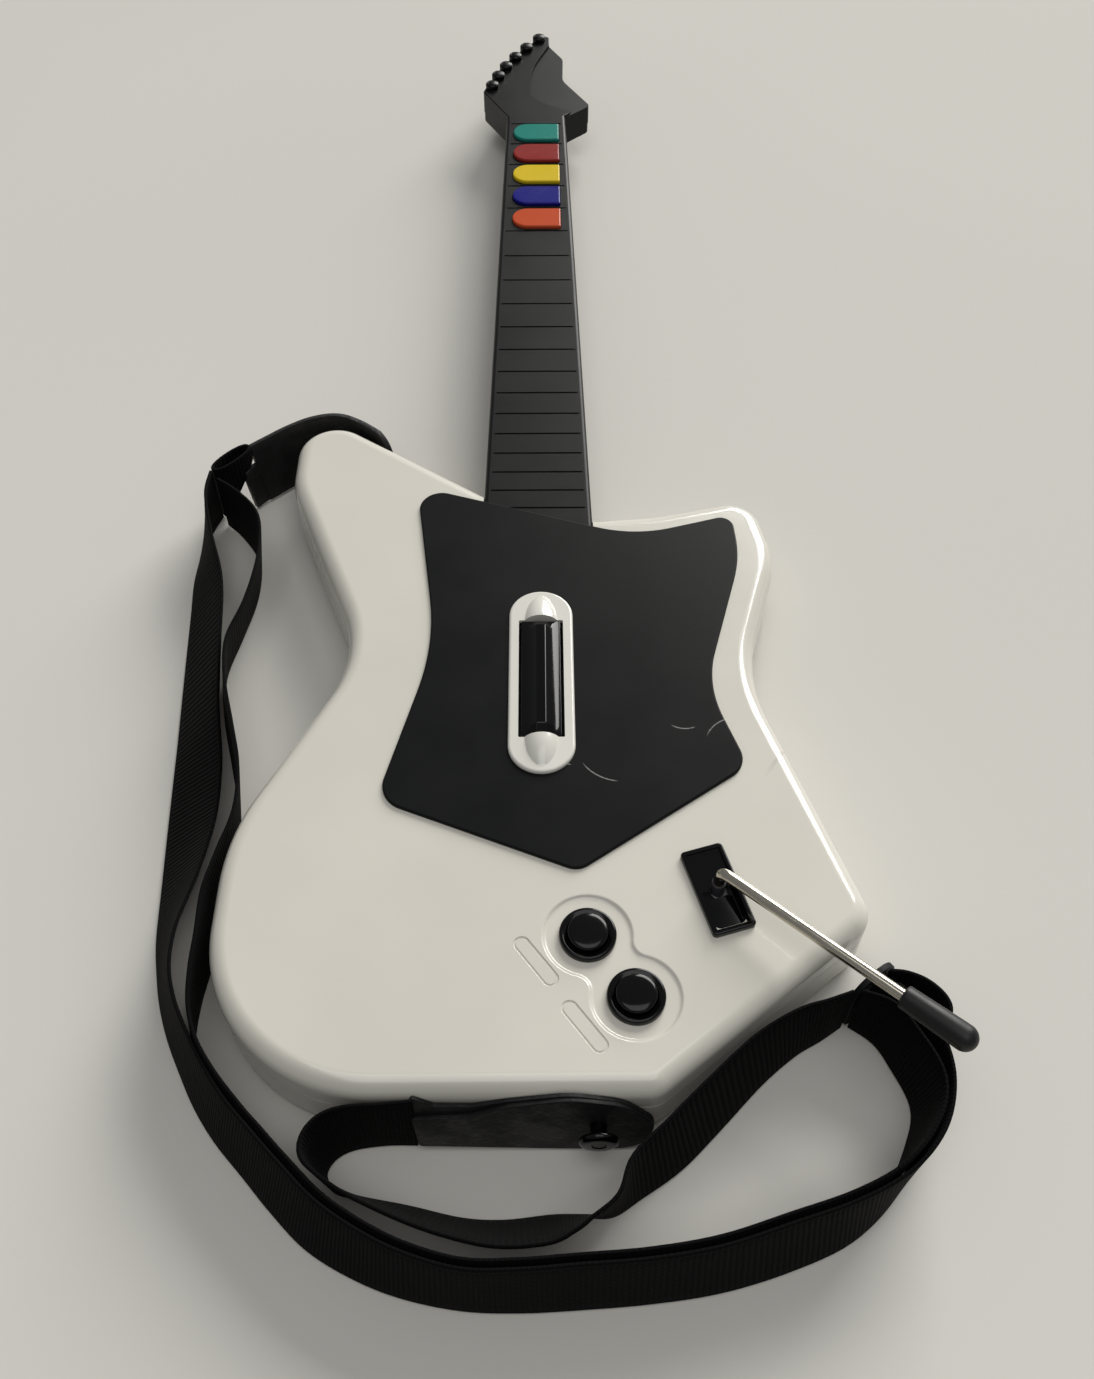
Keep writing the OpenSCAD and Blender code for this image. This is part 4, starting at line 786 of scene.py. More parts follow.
@dataclass
class Studio:
    """Camera, floor, lamps and sky."""

    place: tuple[float, float, float] = (1.5, -413.4, 582.0)
    down: float = 52.8
    heading: float = -0.4
    lens: float = 35.24
    floor_colour: Colour = (0.60, 0.585, 0.545)

    def camera(self) -> None:
        """Makes the camera at the viewing angle."""
        data = bpy.data.cameras.new("camera")
        data.lens, data.sensor_width, data.clip_start, data.clip_end = self.lens, 36.0, 0.02, 50.0
        obj = bpy.data.objects.new("camera", data)
        obj.location = Vector(self.place) * MM
        obj.rotation_euler = (math.radians(90 - self.down), 0, math.radians(self.heading))
        bpy.context.scene.collection.objects.link(obj)
        bpy.context.scene.camera = obj

    def floor(self) -> None:
        """Lays a wide pale floor just under the guitar."""
        bpy.ops.object.select_all(action="DESELECT")
        bpy.ops.mesh.primitive_plane_add(size=14, location=(0, 0, -0.0004))
        obj = bpy.context.active_object
        obj.name = "floor"
        n = Nodes("floor")
        n.colour(n.mix(n.spread(n.noise(0.9, 2), 0.3, 0.7), tint(self.floor_colour, 0.97),
                       tint(self.floor_colour, 1.03)))
        n.bump(n.noise(260, 3), 0.0001, 0.35)
        n.fixed(Roughness=0.7, Specular_IOR_Level=0.0)
        dress(obj, n.material)

    def lamp(self, name: str, at: Sequence[float], size: float, power: float, colour: Colour) -> None:
        """Hangs a square soft lamp that looks at the guitar's middle.

        Args:
            name: Its name.
            at: Its place in metres.
            size: Its side in metres.
            power: Its power in watts.
            colour: Its colour.
        """
        data = bpy.data.lights.new(name, "AREA")
        data.size, data.energy, data.color = size, power, colour
        obj = bpy.data.objects.new(name, data)
        obj.location = at
        obj.rotation_euler = (Vector((0, 0.1, 0)) - Vector(at)).to_track_quat("-Z", "Y").to_euler()
        bpy.context.scene.collection.objects.link(obj)

    def sky(self, strength: float, colour: Colour, backdrop: float = 0.62) -> None:
        """Lights everything evenly, and is seen as a pale backdrop."""
        world = bpy.data.worlds.new("sky")
        world.use_nodes = True
        background = world.node_tree.nodes["Background"]
        background.inputs["Color"].default_value = (*colour, 1)
        tree = world.node_tree
        seen, ray = tree.nodes.new("ShaderNodeMapRange"), tree.nodes.new("ShaderNodeLightPath")
        seen.inputs["To Min"].default_value, seen.inputs["To Max"].default_value = strength, backdrop
        tree.links.new(ray.outputs["Is Camera Ray"], seen.inputs["Value"])
        tree.links.new(seen.outputs["Result"], background.inputs["Strength"])
        bpy.context.scene.world = world

    def build(self) -> None:
        """Sets the whole studio up."""
        bpy.context.scene.view_settings.view_transform = "Standard"
        self.camera()
        self.floor()
        self.lamp("window", (5.0, 9.6, 5.4), size=7.5, power=1850, colour=(1.0, 0.985, 0.955))
        self.lamp("ceiling", (0.1, -0.7, 2.8), size=2.2, power=27, colour=(1.0, 0.995, 0.98))
        self.sky(strength=0.24, colour=(0.97, 0.985, 1.0))


# ------------------------------------------------------------------ guitar

@dataclass
class BodyShells:
    """The two white shells, the pickguard and the hatch in the back."""

    outline: list[Edge] = field(default_factory=lambda: rounded(BODY_CORNERS, 3.0))
    guard: list[Edge] = field(default_factory=lambda: rounded(GUARD_CORNERS, 3.0))
    seam: float = 0.15
    waist: float = 7.0
    gap: float = 0.3
    slot_end: float = 160.0

    def dish(self) -> list[Edge]:
        """The outline of the shallow dish round the two round buttons: two circles with a filleted waist."""
        a, b = Vector(SELECT_C), Vector(START_C)
        r, w = DISH_R, self.waist
        half = (b - a) / 2
        side = Vector((-half.y, half.x)).normalized() * math.sqrt((r + w) ** 2 - half.length ** 2)
        left, right = (a + b) / 2 + side, (a + b) / 2 - side
        out: list[Edge] = []
        for centre, radius, p, q, sign in ((a, r, left, right, 1), (right, w, a, b, -1), (b, r, right, left, 1),
                                           (left, w, b, a, -1)):
            start = math.atan2((p - centre).y, (p - centre).x)
            stop = math.atan2((q - centre).y, (q - centre).x)
            sweep = (stop - start) % math.tau if sign > 0 else -((start - stop) % math.tau)
            steps = max(6, math.ceil(abs(math.degrees(sweep)) / 5))
            for k in range(steps):
                g = start + sweep * k / steps
                out.append((centre.x + radius * math.cos(g), centre.y + radius * math.sin(g),
                            sign * math.cos(g), sign * math.sin(g)))
        return out

    def neck_slot(self, z0: float, z1: float) -> bpy.types.Object:
        """The cutter of the slot that takes the neck's heel, between two heights."""
        low, high = neck_half(HEEL_Y) + self.gap, neck_half(self.slot_end) + self.gap
        return plate("neck_slot", [(-low, HEEL_Y - self.gap), (low, HEEL_Y - self.gap), (high, self.slot_end),
                                   (-high, self.slot_end)], z0, z1)

    def front(self) -> bpy.types.Object:
        """The front shell: rounded edge, hollow inside, with the openings for the controls."""
        shell = plate("front_shell_skin", inset(self.outline), PART_Z + self.seam, BODY_T, FRONT_ROUND, 0.3, 7)
        hollow = plate("hollow", inset(self.outline, WALL), PART_Z - 1, CEILING_Z, FRONT_ROUND - WALL, 0, 4)
        neck = self.neck_slot(PART_Z - 1, BODY_T + 1)
        strum = plate("strum_slot", inset(placed(pill(24.4, 87), STRUM_C)), CEILING_Z - 1, BODY_T + 1)
        tray = plate("tray_slot", inset(placed(rectangle(15.2, 36.6, 3), WHAMMY_C, WHAMMY_TURN)),
                     CEILING_Z - 1, BODY_T + 1)
        bore(shell, hollow, neck, strum, tray)
        dish = stepped("dish", self.dish(), [
            (2.1, DISH_Z), (1.2, DISH_Z + 0.12), (0.55, DISH_Z + 0.5), (0.1, DISH_Z + 1.0),
            (-0.35, BODY_T - 0.07), (-0.9, BODY_T + 0.02), (-0.9, BODY_T + 2)])
        holes = [seat(turned("tube_hole", [(0, 36), (12.6, 36), (12.6, 45), (0, 45)]), pose((*at, 0)))
                 for at in (SELECT_C, START_C)]
        bore(shell, dish, *holes, *[self.capsule(at) for at in LABELS])
        return shade(shell)

    def capsule(self, at: tuple[float, float]) -> bpy.types.Object:
        """The cutter of one bare label place: a shallow bed in a deeper groove."""
        outline = placed(pill(7.5, 28), at, LABEL_TURN)
        groove = stepped("capsule", outline, [
            (0.35, BODY_T - 0.55), (0.2, BODY_T - 0.5), (-0.1, BODY_T), (-0.1, BODY_T + 1)])
        bore(groove, stepped("bed", outline, [
            (0.9, BODY_T - 2), (0.9, BODY_T - 0.5), (1.15, BODY_T - 0.18), (1.3, BODY_T - 0.15)]))
        return groove

    def back(self) -> bpy.types.Object:
        """The back shell with its bay, screw wells and rounded lower edge."""
        shell = plate("back_shell_skin", inset(self.outline), 0, PART_Z - self.seam, 0.3, BACK_ROUND, 5)
        hollow = plate("hollow", inset(self.outline, WALL), WALL, PART_Z + 1, 0, 2.5, 3)
        neck = self.neck_slot(NECK_Z - self.gap, PART_Z + 1)
        bay = plate("bay", inset(placed(rectangle(62.6, 64.6, 1.5), BAY_C)), -1, 2.15)
        knob = plate("knob_well", inset(placed(rectangle(18, 10, 1), (KNOB_C[0] + 2, KNOB_C[1]))), -1, 1.8)
        bore(shell, hollow, neck, bay, knob)
        profile = [(0, -1), (3.7, -1), (3.3, 0.4), (3.3, 5.2), (0, 5.2)]
        bore(shell, *[seat(turned("well", profile, 32), pose((*place, 0))) for place in WELLS])
        return shade(shell)

    def build(self) -> None:
        """Makes and dresses the pieces."""
        hand_over(self.front(), "guitar", "body_white", Finish.SHELL, "front_shell")
        hand_over(self.back(), "guitar", "body_white", Finish.SHELL, "back_shell")
        guard = plate("pickguard_sheet", inset(self.guard), BODY_T, GUARD_Z, 0.9, 0, 4)
        bore(guard, plate("strum_slot", inset(placed(pill(23.8, 86.4), STRUM_C)), BODY_T - 1, GUARD_Z + 1))
        hand_over(shade(guard), "guitar", "pickguard_black", Finish.GUARD, "pickguard")


@dataclass
class RoundButton:
    """One round button: its domed cap and the stepped bezel round it."""

    name: str
    body: str
    at: tuple[float, float]

    def build(self) -> None:
        """Turns both pieces and seats them."""
        bezel = turned(f"{self.name}_bezel_ring", [
            (9.3, 36.5), (11.2, 36.5), (11.2, 40.7), (12.75, 40.7), (12.75, 43.1), (12.6, 43.55), (12.2, 43.9),
            (11.6, 44.05), (11.1, 43.95), (10.7, 43.7), (9.9, 43.6), (9.5, 43.45), (9.3, 43.1)], 96)
        cap = turned(f"{self.name}_cap", [
            (0, 33.1), (10.2, 33.1), (10.2, 34.7), (9.0, 34.7), (9.0, 45.35), (8.93, 45.75), (8.75, 46.05),
            (8.45, 46.3), (8.0, 46.47), (7.0, 46.66), (5.0, 46.88), (2.5, 47.0), (0, 47.03)], 96)
        for piece, body, kind in ((bezel, "guitar", "bezel"), (cap, self.body, "button")):
            seat(piece, pose((*self.at, 0)))
            hand_over(shade(piece, 40, False), body, "button_black", Finish.GLOSS_BLACK, f"{self.name}_{kind}")


@dataclass
class StrumBar:
    """The strum bar and the white bezel with its two pointed bumps."""

    slot_w: float = 22.8
    slot_l: float = 74.0
    bezel_w: float = 33.0
    bezel_l: float = 114.7
    bump_w: float = 16.6
    bump_l: float = 17.0
    bump_h: float = 4.4
    bar_half: float = 10.0
    ridge_half: float = 2.2
    end_run: float = 5.5

    def bump(self, side: int) -> bpy.types.Object:
        """One bump: a turned ogive laid down at an end of the slot and cut level with the bezel."""
        hoop = ((self.bump_w / 2) ** 2 + self.bump_h ** 2) / (2 * self.bump_h)
        flank = (self.bump_l ** 2 + self.bump_h ** 2) / (2 * self.bump_h)
        heights = [self.bump_l * k / 14 for k in range(15)]
        ogive = turned("bump", [(0, 0), *[(hoop - flank + math.sqrt(flank ** 2 - h * h), h) for h in heights],
                                (0, self.bump_l)], 96)
        seat(ogive, pose((STRUM_C[0], STRUM_C[1] + side * self.slot_l / 2, BEZEL_Z + self.bump_h - hoop), 0,
                         Matrix.Rotation(math.radians(-90 * side), 4, "X")))
        bore(ogive, plate("level", inset(placed(rectangle(60, 160, 1), STRUM_C)), 20, BEZEL_Z - 0.3))
        return ogive

    def bezel(self) -> bpy.types.Object:
        """The pill-shaped ring with its bumps."""
        ring = plate("strum_bezel_ring", inset(placed(pill(self.bezel_w, self.bezel_l, 4), STRUM_C)), GUARD_Z,
                     BEZEL_Z, 1.5, 0, 5)
        fuse(ring, self.bump(1), self.bump(-1))
        bore(ring, plate("slot", inset(placed(rectangle(self.slot_w, self.slot_l, 0.6), STRUM_C)), 40, 60))
        apply(ring, "BEVEL", width=0.35 * MM, segments=2, limit_method="ANGLE", angle_limit=math.radians(50))
        return shade(ring, 32)

    def section(self, y: float, share: float) -> list[Vector]:
        """Across the bar: a flat foot, two concave flanks and a ridge, at a share of its height."""
        flank = [(self.bar_half - (self.bar_half - self.ridge_half) * t, 9.2 + 4.3 * t ** 1.7 * share)
                 for t in (k / 10 for k in range(11))]
        points = [(-self.bar_half, 4.4), (self.bar_half, 4.4), *flank, *[(-x, z) for x, z in reversed(flank)]]
        return [Vector((STRUM_C[0] + x, STRUM_C[1] + y, STRUM_PIVOT_Z + z)) for x, z in points]

    def bar(self) -> bpy.types.Object:
        """The bar, whose ridge slopes down to a point at both ends."""
        end = self.slot_l / 2 - 0.5
        bar = skinned("strum_bar_cap", [self.section(-end, 0.02), self.section(self.end_run - end, 1),
                                        self.section(end - self.end_run, 1), self.section(end, 0.02)])
        apply(bar, "BEVEL", width=0.4 * MM, segments=3, limit_method="ANGLE", angle_limit=math.radians(24))
        return shade(bar, 28)

    def build(self) -> None:
        """Makes and dresses both."""
        hand_over(self.bezel(), "guitar", "bezel_white", Finish.WHITE_TRIM, "strum_bezel")
        hand_over(self.bar(), "strum", "strum_black", Finish.GLOSS_BLACK, "strum_bar")


@dataclass
class Whammy:
    """The escutcheon in the body, and the bent rod with its collar and rubber grip."""

    frame_w: float = 20.4
    frame_l: float = 44.0
    top_z: float = 45.0
    pocket_w: float = 16.4
    bend: float = 5.2

    def way(self) -> Vector:
        """The direction of the arm."""
        turn, rise = math.radians(ARM_TURN), math.radians(ARM_RISE)
        return Vector((math.cos(turn) * math.cos(rise), math.sin(turn) * math.cos(rise), math.sin(rise)))

    def pocket(self, rows: Sequence[tuple[float, float, float, float]]) -> bpy.types.Object:
        """A cutter with a floor from (half width, tail y, neck y, z) at the floor to the same at the rim."""
        return skinned("pocket", [level([(-w, y0), (w, y0), (w, y1), (-w, y1)], z) for w, y0, y1, z in rows])

    def escutcheon(self) -> bpy.types.Object:
        """A raised frame. Its neck half holds a sloping plate, its tail half is a deep well with a thin fin."""
        half = self.pocket_w / 2
        frame = plate("whammy_frame", inset(rectangle(self.frame_w, self.frame_l, 2.0)), BODY_T, self.top_z,
                      0.9, 0, 4)
        tray = rectangle(self.frame_w - 5.8, self.frame_l - 8, 3)
        fuse(frame, plate("tray", inset(tray), CEILING_Z, BODY_T + 0.2))
        sill = self.pocket([(half - 0.2, -0.5, 19.4, 43), (half, -0.5, 19.7, 46)])
        with Editing(sill) as edit:
            edit.choose(lambda p: p.z < 43.5 and p.y > 10)
            bpy.ops.transform.translate(value=(0, 0, 1.0 * MM))
            bpy.ops.mesh.select_all(action="DESELECT")
            edit.choose(lambda p: p.z < 43.5 and p.y < 10)
            bpy.ops.transform.translate(value=(0, 0, -0.2 * MM))
        well = self.pocket([
            (half - 1.6, -17.6, 0.4, 40.4), (half - 0.9, -19.0, 0.4, 42.6), (half, -20.0, 0.4, 46)])
        slot = plate("slot", inset(placed(pill(7.7, 9.6), (1, 0.9))), 35, 50)
        bore(frame, sill, well)
        fin = skinned("fin", [[Vector((x, y, z)) for x, z in ring] for y, ring in (
            (-3.5, ((-5.6, 40.3), (6.2, 40.3), (1.4, 43.6))),
            (-17.9, ((-5.0, 40.3), (6.4, 40.3), (4.6, 41.2))))])
        fuse(frame, fin)
        bore(frame, slot)
        apply(frame, "BEVEL", width=0.3 * MM, segments=2, limit_method="ANGLE", angle_limit=math.radians(40))
        return shade(seat(frame, pose((*WHAMMY_C, 0), WHAMMY_TURN)), 30)

    def rod(self) -> bpy.types.Object:
        """The steel rod: up from the carrier, round the bend and out along the arm."""
        elbow, way, up = Vector((*POST, ELBOW_Z)), self.way(), Vector((0, 0, 1))
        a, b = elbow - up * self.bend, elbow + way * self.bend
        curve = [a * (1 - t) ** 2 + elbow * 2 * t * (1 - t) + b * t * t for t in (k / 12 for k in range(13))]
        path = [Vector((*POST, 34.0)), *curve, elbow + way * (ROD_REACH + 15.5)]
        return shade(tube("whammy_bar", path, ROD_D / 2, 32), 50, False)

    def grip(self) -> bpy.types.Object:
        """The rubber grip: a soft lip, a slow swell and a round tip."""
        long, r = ARM_REACH - ROD_REACH, GRIP_D / 2
        tip = [(r * math.sin(math.radians(a)), long - r + r * math.cos(math.radians(a)))
               for a in range(90, 0, -9)]
        profile = [(2.67, 0), (4.55, 0), (4.9, 0.2), (5.1, 0.7), (5.15, 2), (5.3, 9), (5.5, 16), (5.7, 24),
                   *tip, (0, long), (0, 16.2), (2.67, 16.2)]
        grip = turned("whammy_sleeve", profile, 64)
        turn = Vector((0, 0, 1)).rotation_difference(self.way()).to_matrix().to_4x4()
        seat(grip, Matrix.Translation((Vector((*POST, ELBOW_Z)) + self.way() * ROD_REACH) * MM) @ turn)
        return shade(grip, 50, False)

    def collar(self) -> bpy.types.Object:
        """The plastic collar round the foot of the rod."""
        collar = turned("whammy_collar", [
            (2.7, 35.6), (3.3, 35.6), (3.3, 45.9), (3.15, 46.3), (2.9, 46.5), (2.7, 46.5)])
        return shade(seat(collar, pose((*POST, 0))), 50, False)

    def build(self) -> None:
        """Makes and dresses the pieces."""
        hand_over(self.escutcheon(), "guitar", "strum_black", Finish.GLOSS_BLACK, "whammy_escutcheon")
        hand_over(self.collar(), "whammy_base", "inner_black", Finish.INNER_BLACK, "whammy_ferrule")
        hand_over(self.rod(), "whammy_arm", "rod_nickel", Finish.NICKEL, "whammy_rod")
        hand_over(self.grip(), "whammy_arm", "grip_rubber", Finish.GRIP, "whammy_grip")


@dataclass
class Neck:
    """The long neck in two halves, the headstock and its tuning pegs."""

    edge: float = 2.5
    wall: float = 2.5
    head_back_z: float = 18.0
    groove_w: float = 1.3
    groove_d: float = 0.55
    groove_end: float = 3.7
    slope: float = 0.026
    scoop_d: float = 1.2
    fret_gap: float = 0.4
    bridge_y: float = -110
    head: list[Edge] = field(default_factory=lambda: rounded(HEAD_CORNERS, 5.0))

    def quarter(self, x: float, z: float, r: float, start: float) -> list[tuple[float, float]]:
        """A quarter round in the cross section, from an angle in degrees."""
        return [(x + r * math.cos(math.radians(start + a)), z + r * math.sin(math.radians(start + a)))
                for a in range(0, 91, 10)]

    def across(self, y: float, front: bool = True) -> list[Vector]:
        """The cross section of one half at a place along the neck."""
        w = neck_half(y)
        if front:
            r, top = self.edge, BODY_T
            points = [(w, NECK_PART_Z), *self.quarter(w - r, top - r, r, 0),
                      *self.quarter(r - w, top - r, r, 90), (-w, NECK_PART_Z)]
        else:
            r, z = NECK_PART_Z - NECK_Z, NECK_Z
            points = [(w, NECK_PART_Z), (-w, NECK_PART_Z), *self.quarter(r - w, z + r, r, 180)[1:],
                      *self.quarter(w - r, z + r, r, 270)[:-1]]
        return [Vector((x, y, z)) for x, z in points]

    def hollow(self, z0: float, z1: float) -> bpy.types.Object:
        """The space inside the neck."""
        low, high = HEEL_Y - 1, NUT_Y - 6
        a, b = neck_half(low) - self.wall, neck_half(high) - self.wall
        return plate("hollow", [(-a, low), (a, low), (b, high), (-b, high)], z0, z1)

    def fret_plan(self, y: float, grow: float) -> list[Edge]:
        """A fret button's outline: round on the left, square on the right."""
        half, r = FRET_W / 2 + grow, FRET_L / 2 + grow
        corners = [(-half, -r, r - 0.05), (half, -r, 1.0), (half, r, 1.0), (-half, r, r - 0.05)]
        return placed(rounded(corners, 6), (0, y))

    def scoop(self) -> bpy.types.Object:
        """The cutter of the hollow beside the pegs, which slopes down to the right."""
        outline = rounded([
            (70, NUT_Y - 10, 1), (36, NUT_Y - 0.5, 40), (8, NUT_Y + 14.5, 24), (-5.4, NUT_Y + 28, 16),
            (-2.4, NUT_Y + 68, 90), (11, NUT_Y + 103.5, 10), (70, NUT_Y + 116, 1)], 6)
        lip = ((3.4, 1.0), (2.8, 0.92), (2.1, 0.72), (1.4, 0.46), (0.7, 0.2), (0.0, 0.0))
        rings = [[Vector((x, y, BODY_T + 0.005 - (self.scoop_d + (x + 10) * self.slope) * deep))
                  for x, y in inset(outline, by)] for by, deep in lip]
        return skinned("scoop", [*rings, level(inset(outline), BODY_T + 6)])

    def front(self) -> bpy.types.Object:
        """The front half with its grooves, openings and headstock."""
        neck = skinned("neck_front_skin", [self.across(HEEL_Y), self.across(NUT_Y)])
        head = plate("head", inset(self.head), NECK_PART_Z + 0.12, BODY_T, 0.8, 0, 3)
        fuse(neck, head)
        bore(neck, self.hollow(NECK_PART_Z - 1, CEILING_Z), self.scoop())
        apply(neck, "BEVEL", width=0.35 * MM, segments=2, limit_method="ANGLE", angle_limit=math.radians(38))
        scale_l = FRET_FIRST_Y - FRET_PITCH / 2 - self.bridge_y
        lines = [self.bridge_y + scale_l * 2 ** (-n / 12) for n in range(14)]
        lines += [FRET_FIRST_Y + FRET_PITCH * (k - 0.5) for k in range(1, 6)]
        grooves = [rectangle(2 * (neck_half(y) - self.groove_end), self.groove_w, 0.3, 45) for y in lines]
        bore(neck, join(*[plate("groove", inset(placed(groove, (0, y))), BODY_T - self.groove_d, BODY_T + 1)
                          for groove, y in zip(grooves, lines)]))
        holes = [plate("hole", inset(self.fret_plan(FRET_FIRST_Y + k * FRET_PITCH, self.fret_gap)), 38, 44)
                 for k in range(5)]
        bore(neck, join(*holes))
        profile = [(0, 28), (5.15, 28), (5.15, 44), (0, 44)]
        bore(neck, join(*[seat(turned("peg_hole", profile, 40), pose((*p, 0))) for p in self.peg_places()]))
        return shade(neck, 30)

    def back(self) -> bpy.types.Object:
        """The rounded back half with the back of the headstock."""
        neck = skinned("neck_back_skin", [self.across(y, False) for y in (HEEL_Y, NUT_Y)])
        fuse(neck, plate("head", inset(self.head, 0.4), self.head_back_z, NECK_PART_Z - 0.12, 0, 1.2, 4))
        bore(neck, self.hollow(NECK_Z + self.wall, NECK_PART_Z + 1))
        profile = [(0, 10), (3.6, 10), (3.2, NECK_Z + 0.6), (3.2, NECK_Z + 4), (0, NECK_Z + 4)]
        bore(neck, join(*[seat(turned("well", profile, 32), pose((*place, 0))) for place in NECK_WELLS]))
        return shade(neck, 30)

    def peg_places(self) -> list[tuple[float, float]]:
        """The six pegs on a gentle arc along the headstock's left edge."""
        return [(-33 + 35.6 * t - 17 * t * (1 - t), NUT_Y + 39 + 70 * t) for t in (k / 5 for k in range(6))]

    def pegs(self) -> bpy.types.Object:
        """Six pegs, turned once and copied."""
        profile = [(0, 28), (4.6, 28), (5.0, 28.4), (5.0, 41.6), (4.7, 41.9), (4.7, 42.3), (5.0, 42.6),
                   (5.0, 44.4), (4.85, 45.0), (4.4, 45.5), (3.5, 45.9), (3.3, 45.8), (3.1, 45.9), (1.8, 46.2),
                   (0, 46.3)]
        first = turned("pegs", profile, 40)
        places = self.peg_places()
        others = [copied(first, "peg", (*p, 0)) for p in places[1:]]
        seat(first, pose((*places[0], 0)))
        return shade(join(first, *others), 35, False)

    def build(self) -> None:
        """Makes and dresses the pieces."""
        hand_over(self.front(), "guitar", "neck_black", Finish.NECK, "neck_front")
        hand_over(self.back(), "guitar", "neck_black", Finish.NECK, "neck_back")
        hand_over(self.pegs(), "guitar", "button_black", Finish.PEG, "tuning_pegs")
        for k, finish in enumerate((Finish.ORANGE, Finish.BLUE, Finish.YELLOW, Finish.RED, Finish.GREEN)):
            name, plan = finish.name.lower(), self.fret_plan(FRET_FIRST_Y + k * FRET_PITCH, 0)
            cap = plate(f"{name}_fret_cap", inset(plan), 36.8, 44.0, 1.1, 0, 5)
            hand_over(shade(cap, 35), f"{name}_fret", f"fret_{name}", finish, f"{name}_fret_button")


@dataclass
class BackFittings:
    """What shows in the back: the battery door and the power switch's knob."""

    door_w: float = 62.0
    door_l: float = 64.0

    def door(self) -> bpy.types.Object:
        """The door with its thumb dip and ribs."""
        x, y = BAY_C
        outline = placed(rectangle(self.door_w, self.door_l, 1.2), BAY_C)
        door = plate("battery_hatch", inset(outline), 0, 2, 0, 0.4, 2)
        dip = plate("dip", inset(placed(pill(9, 16), (x, y + self.door_l / 2 - 8))), -1, 0.8)
        ribs = [plate("rib", inset(placed(rectangle(1.1, 30, 0.5), (x, y - 6 + 4.5 * k), 90)), -1, 0.35)
                for k in range(4)]
        bore(door, dip, join(*ribs))
        return shade(door, 30)

    def knob(self) -> bpy.types.Object:
        """The sliding knob with three grip lines."""
        x, y = KNOB_C
        knob = plate("switch_knob", inset(placed(rectangle(7, 8, 0.8), KNOB_C)), 0.4, 1.5, 0, 0.3, 2)
        lines = [plate("line", inset(placed(rectangle(0.7, 6, 0.2), (x + 1.6 * k, y))), 0, 0.8)
                 for k in (-1, 0, 1)]
        bore(knob, join(*lines))
        join(knob, plate("stem", inset(placed(rectangle(2.6, 2.6, 0.3), KNOB_C)), 1.5, 6))
        return shade(knob, 30)

    def build(self) -> None:
        """Makes and dresses both."""
        hand_over(self.door(), "door", "body_white", Finish.SHELL, "battery_door")
        hand_over(self.knob(), "switch", "inner_black", Finish.INNER_BLACK, "power_switch")


@dataclass
class StrapButton:
    """A turned strap button that stands out of the body's wall."""

    name: str
    at: tuple[float, float]
    turn: float

    def build(self) -> None:
        """Turns it and seats it on the wall."""
        button = turned(f"{self.name}_knob", [
            (1.7, 0.05), (4.0, 0.05), (4.0, 1.5), (3.6, 2.1), (3.5, 9.6), (3.9, 10.3), (7.4, 11.5), (8.2, 12.0),
            (8.5, 12.7), (8.45, 13.4), (8.0, 14.2), (7.2, 14.75), (6.2, 15.0), (3.5, 15.0), (3.15, 14.7),
            (3.15, 12.6), (1.7, 12.6)], 72)
        seat(button, pose((*self.at, STRAP_Z), self.turn, Matrix.Rotation(math.radians(90), 4, "Y")))
        hand_over(shade(button, 32, False), "guitar", "strap_button_black", Finish.GLOSS_BLACK, self.name)


@dataclass
class StrapRun:
    """One length of strap that stands on its edge along a route (x, y, lean).

    Attributes:
        name: Its name.
        node: The solid it stands for, if any.
        route: Points of its lower edge in millimetres, with the lean in degrees.
        width: Its width.
        thick: Its thickness.
        lift: How far its foot stands over the floor.
        leather: Whether it is a leather tab with torn edges instead of webbing.
        round_start: Radius of a rounded end, or 0 for a square one.
    """

    name: str
    node: str
    route: list[tuple[float, float, float]]
    width: float = WEBBING_W
    thick: float = WEBBING_T
    lift: float = 0.0
    leather: bool = False
    round_start: float = 0.0

    def rows(self, steps: int, across: int) -> list[list[Vector]]:
        """The strip's lines across, from its foot to its top, in metres."""
        points = smooth_route(self.route, steps)
        rows, run = [], 0.0
        for i, p in enumerate(points):
            a, b = points[max(i - 1, 0)], points[min(i + 1, len(points) - 1)]
            h = Vector((b[0] - a[0], b[1] - a[1])).normalized()
            if i:
                run += math.dist(p[:2], points[i - 1][:2])
            lean = math.radians(p[2])
            up = Vector((-h.y * math.sin(lean), h.x * math.sin(lean), math.cos(lean)))
            foot = Vector((p[0], p[1], FLOOR_GAP + self.lift + abs(math.sin(lean)) * self.thick / 2))
            half = self.width / 2
            if run < self.round_start:
                half = min(half, 2 + math.sqrt(self.round_start ** 2 - (self.round_start - run) ** 2))
            rows.append([(foot + up * (self.width / 2 + half * (2 * k / across - 1))) * MM
                         for k in range(across + 1)])
        return rows

    def build(self) -> None:
        rows = self.rows(6, 6)
        middle = [row[3] for row in rows]
        length = sum((b - a).length for a, b in zip(middle, middle[1:]))
        strip = ribbon(self.name, rows)
        apply(strip, "SOLIDIFY", thickness=self.thick * 0.94 * MM, offset=0.0, use_rim=True,
              material_offset_rim=1)
        apply(strip, "BEVEL", width=0.0005, segments=2, limit_method="ANGLE", angle_limit=math.radians(60))
        shade(strip, 50, False)
        if self.leather:
            dress(strip, material(Finish.LEATHER), material(Finish.LEATHER_EDGE))
        else:
            tape = Webbing(YARN, length).make(self.name).material
            dress(strip, tape, tape)
        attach(strip, "guitar")
        if self.node:
            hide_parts(self.node)
        LOG.info("%s for %s, %.3f m long", self.name, self.node or "nothing", length)


